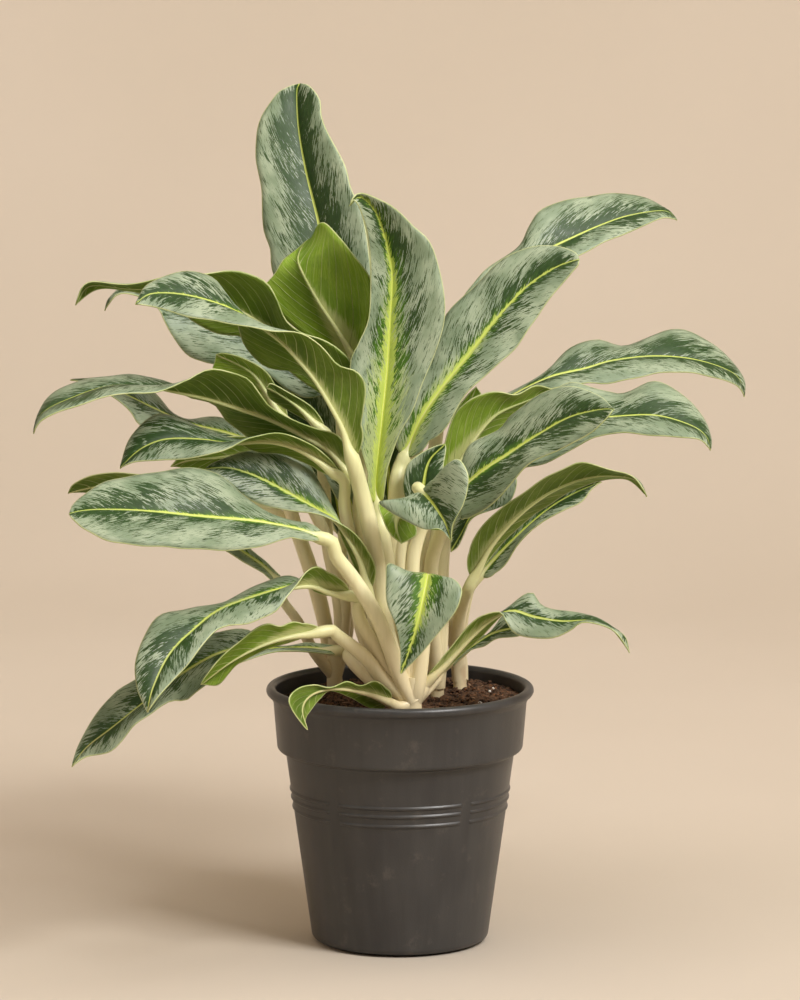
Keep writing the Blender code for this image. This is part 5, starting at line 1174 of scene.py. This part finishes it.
# Each stalk: its shoot, its radius at the blade and at the foot in millimetres, and its way down.
STALKS = {
    "leaf_01": (4, 4.0, 5.5, "-4.2 43 5, -3.6 39 4.5, -3 34 3.5, -2.4 28 2, -1.6 22 0.5, -1.2 18 -0.3"),
    "leaf_02": (4, 5.0, 6.5, "-1.6 31.4 -1.5, -1.2 29 -1.7, -0.9 26 -1.8, -1 22 -1.6, -1.1 18 -1"),
    "leaf_03": (4, 4.2, 5.5, "-3 41.5 2.5, -2.6 38 2.2, -2.2 33 1.5, -1.8 28 0.8, -1.4 22 0, "
        "-1.2 18 -0.4"),
    "leaf_04": (1, 5.5, 7.0, "-3.3 34.8 -4, -2.8 32.5 -3.9, -2.3 30.5 -3.8, -1.9 28.5 -3.8, -1.5 26 -4, "
        "-1.2 24 -4.3, -0.8 22 -4.6, -0.2 20 -5, 0.4 18 -5.4"),
    "leaf_05": (4, 4.2, 5.5, "-3.6 38.8 0.5, -3 36 0.2, -2.5 32 0, -2.1 28 -0.4, -1.6 23 -0.8, "
        "-1.2 19 -0.8"),
    "leaf_06": (4, 4.0, 5.5, "-5 39.5 3, -4 35 2.8, -3.2 30 2, -2.4 25 1, -1.6 20 0.2, -1.2 18 -0.2"),
    "leaf_07": (2, 3.8, 5.0, "-5.6 36.8 -0.2, -5.5 35.3 0.7, -5.3 32 1.6, -5.1 28.5 2.2, -4.6 26 2.6, "
        "-4.2 23.5 3.2, -4.3 21 4"),
    "leaf_08": (2, 3.8, 5.0, "-8.2 37.5 0.9, -8 33 1.6, -7.3 29.6 2.2, -6.2 26.2 3, -5.4 23.2 3.8, "
        "-4.9 20 4.3"),
    "leaf_09": (4, 4.2, 5.5, "-3.4 33.4 -2.4, -2.9 31 -2.4, -2.5 28 -2.3, -2 24 -2, -1.5 20 -1.2, "
        "-1.2 18 -0.8"),
    "leaf_10": (2, 3.8, 5.0, "-9.5 35.5 3.2, -8.3 32.3 3.3, -7 28.9 3.7, -5.9 25.6 4.1, -5.3 23 4.3, "
        "-4.8 20 4.4"),
    "leaf_11": (4, 4.0, 5.0, "-4.6 33.6 -2.9, -3.9 31 -2.8, -3.3 28 -2.4, -2.6 24 -1.8, -1.7 20 -1, "
        "-1.3 18 -0.7"),
    "leaf_12": (2, 3.8, 5.0, "-8 34.6 0, -6.5 31.8 0.7, -5.3 29.2 1.5, -4.7 26.8 2.2, -3.9 24.6 2.9, "
        "-4 22 3.7, -4.4 20 4.2"),
    "leaf_13": (1, 4.2, 5.5, "-2.3 25.4 -4.9, -1.9 23.8 -5, -1.2 21.5 -5.2, -0.3 19 -5.5, "
        "0.3 17.8 -5.6"),
    "leaf_14": (1, 4.8, 6.0, "-5.6 29.05 -7.4, -4.5 27.6 -7.2, -3.5 26.3 -7, -2.5 24.8 -6.8, "
        "-1.5 23 -6.6, -0.7 21 -6.3, -0.1 19.2 -6, 0.5 17.5 -5.8"),
    "leaf_15": (2, 3.6, 4.6, "-12.5 32 3.6, -9.8 31.2 3.8, -7.8 30 3.9, -6.7 27.4 4.1, -5.6 23.6 4.4, "
        "-4.9 20.5 4.6"),
    "leaf_16": (2, 3.0, 4.2, "-8.7 26 0.5, -8.3 24.5 1, -7.2 22.9 2, -6.1 20.8 3, -5.1 18.6 4"),
    "leaf_17": (1, 4.0, 5.2, "-3.7 24.9 -5.6, -3 23.5 -5.5, -2 21.5 -5.4, -1 19.5 -5.5, 0 18 -5.6"),
    "leaf_18": (1, 4.2, 5.5, "-4.6 20.9 -2, -3.5 20.2 -2.8, -1.8 18.6 -4.2, -0.2 17.4 -5.2"),
    "leaf_19": (1, 4.2, 5.5, "-5.8 22.25 -6.2, -4.5 22 -6.2, -2.5 20.4 -6, -1.2 18.8 -5.8, "
        "0.2 17.6 -5.7"),
    "leaf_20": (1, 3.5, 4.5, "-0.8 17.2 -6.4, -0.2 17.2 -6.2, 0.5 17.3 -5.9"),
    "leaf_21": (5, 4.2, 5.5, "4 44.5 8.5, 3 40 8, 2.3 34 7.4, 1.6 28 6.5, 1 21 5.6"),
    "leaf_22": (4, 5.5, 6.2, "0.3 34.8 2, -0.2 33 1.6, -0.3 31 1.2, -0.3 28 0.8, -0.5 24 0.2, "
        "-0.9 19 -0.3"),
    "leaf_23": (3, 4.0, 5.5, "5.5 37.5 7.5, 4.5 34 6.4, 3.4 30.5 5.5, 2.9 28 5, 3 25.5 4.6, 3.7 22.6 4, "
        "4.2 20 3.5"),
    "leaf_24": (6, 4.0, 5.2, "6 34.5 1, 4.6 32 1, 3.4 29.5 0.9, 3 27 0.8, 3 24 0.6, 2.8 20 0.5"),
    "leaf_25": (6, 4.5, 5.8, "4 32 -4.5, 3.2 30 -3.2, 2.3 27.5 -2, 2.2 24 -0.8, 2.5 20 0.3, 2.6 18 0.5"),
    "leaf_26": (6, 4.0, 5.2, "3.4 33 3.4, 2.9 31 2.8, 2.4 28 2, 2.5 24 1.2, 2.6 20 0.7"),
    "leaf_27": (3, 3.4, 4.5, "3.6 35 5.4, 3.1 32 4.6, 2.7 28.5 4, 3 25.6 3.8, 3.7 22.8 3.5, "
        "4.2 20.5 3.3"),
    "leaf_28": (4, 3.8, 5.0, "1.6 31.2 0, 1.3 28 0.4, 0.6 24 0.2, -0.6 19 -0.2"),
    "leaf_29": (1, 4.2, 5.2, "1.5 32.3 -6.2, 2.1 31.2 -4.8, 1.3 29 -4.5, 0.9 27 -4.7, 1 24 -4.9, "
        "1.1 20 -5.3, 1.1 18 -5.6"),
    "leaf_30": (1, 4.2, 5.2, "2 25.9 -6.8, 2 25 -6, 1.8 23 -5.7, 1.5 20 -5.6, 1.2 18 -5.7"),
    "leaf_31": (3, 4.0, 5.0, "5.2 26.2 -1.5, 4.4 24 0.3, 4.05 22 1.8, 4.1 20 2.8, 4.3 18 3.2"),
    "leaf_32": (1, 3.6, 4.6, "2.2 18.9 -5, 1.8 18.2 -5.2, 1.3 17.6 -5.5"),
    "leaf_33": (6, 3.4, 4.6, "6.5 33.5 -1, 5 32.6 -0.6, 3.6 30 -0.2, 2.9 27 0, 2.8 23 0.3, 2.7 20 0.4"),
    "leaf_34": (4, 3.6, 4.6, "-3.1 29.8 0.7, -3.3 27 0.9, -3.1 24.5 1, -2.8 22.5 0.9, -1.9 20 0.3"),
    "leaf_35": (4, 3.4, 4.6, "-2.5 31.8 -1.1, -2.1 32.4 -0.8, -1.6 31 -0.5, -1.4 27 -0.7, -1.3 22 -0.8"),
    "leaf_36": (1, 3.4, 4.6, "0.6 31.2 -5.2, 1 31.5 -4.5, 0.6 29.8 -4.2, 0.1 28 -4.5, 0.2 24 -4.9, "
        "0.6 20 -5.3"),
    "leaf_37": (3, 3.6, 4.6, "5.7 26.3 1, 4.8 24.9 1.5, 4.35 22.5 2.4, 4.2 20 3"),
    "leaf_38": (1, 3.0, 4.0, "3.6 20 -3.4, 2.6 18.8 -4.2, 1.6 17.8 -5.2"),
    "leaf_39": (2, 3.8, 4.8, "-4.1 29.3 4, -3.9 27.4 4.2, -3.6 24.8 4.3, -3.8 22 4.4, -4.4 19.8 4.4"),
    "leaf_40": (5, 3.6, 4.6, "-0.7 30.6 3.2, -0.5 27 3.8, 0 23 4.7, 0.6 20 5.2"),
}


def stalk_line(foot, along, upper, radius, way, shoot):
    """From just short of the blade's foot, in line with its midrib, down into the cane, in centimetres."""
    start = foot - along * STALK_GAP * MM / CM - upper * STALK_DROP * radius * MM / CM
    lead = start - along * STALK_LEAD * MM / CM
    x, y, reach, top = CANES[shoot]
    low = STALK_FOOT * MM / CM
    middle = [place for place in way[1:] if place[2] > low + 0.8]
    end = np.array([x, y, max(low, ([lead] + middle)[-1][2] - 2.0)])
    way = np.vstack([start, lead, *middle, end])
    return smooth_line_in_space(way)


def smooth_line_in_space(marks):
    """A dense smooth line through marks in space, evenly spaced."""
    ends = np.vstack([2 * marks[0] - marks[1], marks, 2 * marks[-1] - marks[-2]])
    line = []
    for a, b, c, d in zip(ends, ends[1:], ends[2:], ends[3:]):
        for t in np.linspace(0.0, 1.0, 12, endpoint=False):
            bend = 2 * a - 5 * b + 4 * c - d
            line.append(0.5 * (2 * b + (c - a) * t + bend * t**2 + (3 * b - a - 3 * c + d) * t**3))
    line.append(marks[-1])
    line = np.array(line)
    run = np.concatenate([[0.0], np.cumsum(np.linalg.norm(np.diff(line, axis=0), axis=1))])
    stops = np.linspace(0.0, run[-1], max(8, round(run[-1] / STALK_RING_SPACING)))
    return np.stack([np.interp(stops, run, column) for column in line.T], axis=1)


def rib_line(middle, upper, run, radius):
    """The midrib under the blade, from its tip back to its foot: centres and radii, in centimetres."""
    share = run / run[-1]
    rib_radius = 0.1 * (RIB_TIP_RADIUS + (RIB_RADIUS - RIB_TIP_RADIUS) * (1 - share) ** 1.3)
    fade = np.exp(-run / RIB_FADE_LENGTH)
    radii = rib_radius * (1 - fade) + 0.1 * radius * fade
    sunk = radii + 0.1 * RIB_SINK
    depth = sunk * (1 - fade) + 0.1 * STALK_DROP * radius * fade
    centres = middle - upper * depth[:, None]
    return centres[::-1], radii[::-1]


def tube(name, line, radii, shares, squeeze, across):
    """A closed round tube along a line in space, in centimetres, with how far each ring is from its tip end."""
    bpy.ops.mesh.primitive_grid_add(x_subdivisions=STALK_SIDES, y_subdivisions=len(line) - 1, size=2)
    made = bpy.context.object
    made.name = name
    ahead = unit(np.gradient(line, axis=0))
    side = across - ahead * (across * ahead).sum(axis=1, keepdims=True)
    side = unit(side)
    out = np.cross(ahead, side)
    place = np.empty((len(made.data.vertices), 3))
    for vertex in made.data.vertices:
        angle = (vertex.co.x + 1) * math.pi
        row = round((vertex.co.y + 1) / 2 * (len(line) - 1))
        spoke = math.cos(angle) * side[row] * squeeze[row] + math.sin(angle) * out[row] / squeeze[row]
        vertex.co = Vector(line[row] + spoke * radii[row]) * CM
        place[vertex.index] = (math.cos(angle), shares[row], radii[row])
    ways = made.data.attributes.new("stalk_place", "FLOAT_VECTOR", "POINT")
    ways.data.foreach_set("vector", place.ravel())
    bpy.ops.object.mode_set(mode="EDIT")
    bpy.ops.mesh.select_all(action="SELECT")
    bpy.ops.mesh.remove_doubles(threshold=0.01 * MM)
    bpy.ops.mesh.select_all(action="DESELECT")
    bpy.ops.mesh.select_non_manifold(extend=False, use_boundary=True)
    bpy.ops.mesh.fill_holes(sides=0)
    bpy.ops.mesh.select_all(action="SELECT")
    bpy.ops.mesh.normals_make_consistent(inside=False)
    bpy.ops.object.mode_set(mode="OBJECT")
    return made


def stalk(name, middle, along, upper, run, radius, foot_radius, way, shoot):
    """One leaf stalk and the midrib that runs on from it under the blade, as one tapering tube."""
    low = stalk_line(middle[0], along[0], upper[0], radius, way, shoot)
    rib_centres, rib_radii = rib_line(middle, upper, run, radius)
    length = np.concatenate([[0.0], np.cumsum(np.linalg.norm(np.diff(low, axis=0), axis=1))])
    share = length / length[-1]
    low_radii = 0.1 * (radius + (foot_radius - radius) * share)
    line = np.vstack([rib_centres[:-1], low])
    radii = np.concatenate([rib_radii[:-1], low_radii])
    shares = np.concatenate([-run[::-1][:-1] / run[-1], share])
    flat = 1 + SHEATH_FLATNESS * np.clip(shares, 0, 1)
    across = np.cross(along, upper)[::-1][:-1]
    across = np.vstack([across, np.repeat(across[-1:], len(low), axis=0)])
    return tube(name, line, radii, shares, flat, across)


def stalk_flesh():
    """Cream stalk: greener towards the blade, faint length-wise streaks, and rusty stains low down."""
    look = Look("stalk_flesh", 0.4, Specular_IOR_Level=0.4, Subsurface_Weight=0.06, Subsurface_Scale=0.004)
    look.shader.inputs["Subsurface Radius"].default_value = (1.0, 0.85, 0.5)
    place = look.node("ShaderNodeAttribute", {"attribute_name": "stalk_place"}, output=1)
    around, share, radius = (look.part(place, axis) for axis in range(3))
    spot = look.node("ShaderNodeTexCoord", output="Object")
    height = look.part(spot, 2)
    cloud = look.grain(spot, 45.0, 3.0)
    streak = look.grain(look.node("ShaderNodeMapping", None, spot, Scale=(420.0, 420.0, 18.0)), 1.0, 3.0)
    fresh = look.step(share + (cloud - 0.5) * 0.2, -0.1, 0.4, 1.0, 0.0)
    colour = look.blend(fresh * 0.75, STALK_CREAM, STALK_GREEN)
    colour = look.blend(look.step(share, -0.9, 0.0, 1.0, 0.0), colour, RIB_GREEN)
    colour = look.blend(look.step(streak, 0.45, 0.7) * 0.3, colour, STALK_STREAK)
    colour = look.blend(look.step(height, 0.175, 0.26, 0.5, 0.0), colour, STALK_PINK)
    stain = look.step(cloud + look.step(height, 0.17, 0.2, 0.1, 0.0), 0.62, 0.72)
    colour = look.blend(stain * look.step(height, 0.18, 0.23, 0.35, 0.0), colour, STALK_STAIN)
    look.feed("Base Color", colour)
    look.bump(streak * 0.5 + cloud * 0.3, 0.0003)
    return look.material


STALK_CREAM = tint(228, 220, 178)
STALK_STREAK = tint(206, 200, 150)
STALK_PINK = tint(220, 196, 162)
STALK_GREEN = tint(204, 208, 146)
STALK_STAIN = tint(160, 110, 70)
RIB_GREEN = tint(150, 170, 92)
stalk_look = stalk_flesh()
shoots = {number: [] for number in CANES}
for name, (shoot, radius, foot_radius, way) in STALKS.items():
    made = stalk(f"{name}_stalk", *leaf_ways[name], radius, foot_radius, in_space(points(way)), shoot)
    shoots[shoot].append(made)
for name, leaf in BACK_LEAVES.items():
    middle, along, upper, run = leaf_ways[name]
    x, y, radius, top = CANES[BACK_SHOOT]
    turn = math.radians(leaf[0])
    outward = np.array([math.cos(turn), math.sin(turn), 0.0])
    knee = np.array([x, y, top + (middle[0][2] - top) * BACK_KNEE_HEIGHT]) + BACK_KNEE_REACH * outward
    way = np.array([middle[0], knee])
    shoots[BACK_SHOOT].append(
        stalk(f"{name}_stalk", middle, along, upper, run, *BACK_STALK, way, BACK_SHOOT)
    )


def cane(number):
    """The short upright stem that a shoot's stalks grow from, ringed by the scars of old leaves."""
    x, y, radius, top = CANES[number]
    low = CANE_FOOT * MM / CM
    heights = np.linspace(low, top, 40)
    line = np.array([[x, y, height] for height in heights])
    share = (heights - low) / (top - low)
    scar = 1 + 0.05 * np.cos(heights * 2 * math.pi / CANE_SCAR_SPACING) ** 6
    radii = radius * (1 + (CANE_TAPER - 1) * share) * scar
    across = np.repeat([[1.0, 0.0, 0.0]], len(line), axis=0)
    return tube(f"cane_{number}", line, radii, np.ones(len(line)), np.ones(len(line)), across)


for number, parts in shoots.items():
    parts.append(cane(number))
    bpy.ops.object.select_all(action="DESELECT")
    for part in parts:
        part.select_set(True)
    bpy.context.view_layer.objects.active = parts[-1]
    bpy.ops.object.join()
    shoot = bpy.context.object
    shoot.name = f"shoot_{number}_stalks"
    shoot.data.materials.clear()
    shoot.data.materials.append(stalk_look)
    bpy.ops.object.shade_smooth_by_angle(angle=math.radians(60))
    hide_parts(f"shoot_{number}")
    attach(shoot, "root")

# Floor, backdrop, lights and camera
# A roll of warm pale paper: flat under the pot and swept up behind it. One big soft light stands in front on
# the right, a weaker one on the left, and a third above.
PAPER_HALF_WIDTH = 3.0
PAPER_FRONT = -4.5
PAPER_BEND = 1.4
PAPER_BEND_RADIUS = 0.9
PAPER_TOP = 3.2
bpy.ops.mesh.primitive_plane_add(size=2)
paper = bpy.context.object
paper.name = "paper_backdrop"
for vertex in paper.data.vertices:
    vertex.co.x *= PAPER_HALF_WIDTH
    vertex.co.y = PAPER_FRONT if vertex.co.y < 0 else PAPER_BEND
bpy.ops.object.mode_set(mode="EDIT")
edit = bmesh.from_edit_mesh(paper.data)
for edge in edit.edges:
    edge.select_set(all(vertex.co.y > 0 for vertex in edge.verts))
bmesh.update_edit_mesh(paper.data)
PAPER_STEPS = 24
for step in range(PAPER_STEPS):
    turn = 0.5 * math.pi * (step + 0.5) / PAPER_STEPS
    reach = PAPER_BEND_RADIUS * 0.5 * math.pi / PAPER_STEPS
    bpy.ops.mesh.extrude_region_move(
        TRANSFORM_OT_translate={"value": (0, reach * math.cos(turn), reach * math.sin(turn))}
    )
bpy.ops.mesh.extrude_region_move(TRANSFORM_OT_translate={"value": (0, 0, PAPER_TOP)})
bpy.ops.object.mode_set(mode="OBJECT")
bpy.ops.object.shade_smooth()


def paper_look():
    """Matt warm paper with the faintest cloudiness."""
    look = Look("paper", 0.95, Specular_IOR_Level=0.1)
    place = look.node("ShaderNodeTexCoord", output="Object")
    cloud = look.grain(place, 1.2, 3.0)
    look.feed("Base Color", look.blend(look.step(cloud, 0.3, 0.7), tint(209, 197, 181), tint(214, 202, 187)))
    return look.material


paper.data.materials.append(paper_look())


def soft_light(name, place, aim, size, power, colour):
    """A square soft box that looks at a point."""
    lamp = bpy.data.lights.new(name, "AREA")
    lamp.shape = "RECTANGLE"
    lamp.size, lamp.size_y = size
    lamp.energy = power
    lamp.color = colour
    made = bpy.data.objects.new(name, lamp)
    made.location = place
    made.rotation_euler = (Vector(aim) - Vector(place)).to_track_quat("-Z", "Y").to_euler()
    bpy.context.scene.collection.objects.link(made)


WARM = (1.0, 0.985, 0.96)
soft_light("key_light", (1.5, -1.5, 2.3), (0, 0, 0.3), (1.1, 1.1), 100, WARM)
soft_light("fill_light", (-2.4, -2.2, 1.4), (0, 0, 0.3), (2.0, 2.0), 12, WARM)
soft_light("top_light", (0.2, -0.4, 2.8), (0, -0.2, 0.2), (2.0, 2.0), 34, WARM)
world = bpy.data.worlds.new("studio")
bpy.context.scene.world = world
world.use_nodes = True
world.node_tree.nodes["Background"].inputs["Color"].default_value = (1.0, 0.98, 0.95, 1.0)
world.node_tree.nodes["Background"].inputs["Strength"].default_value = 0.42
bpy.context.scene.view_settings.view_transform = "Standard"

camera_data = bpy.data.cameras.new("camera")
camera_data.lens = 180
camera_data.sensor_width = 36
camera_data.clip_end = 50
camera = bpy.data.objects.new("camera", camera_data)
camera.location = (0.0, -3.492, 0.834)
camera.rotation_euler = (math.radians(90 - 8.43), 0, 0)
bpy.context.scene.collection.objects.link(camera)
bpy.context.scene.camera = camera
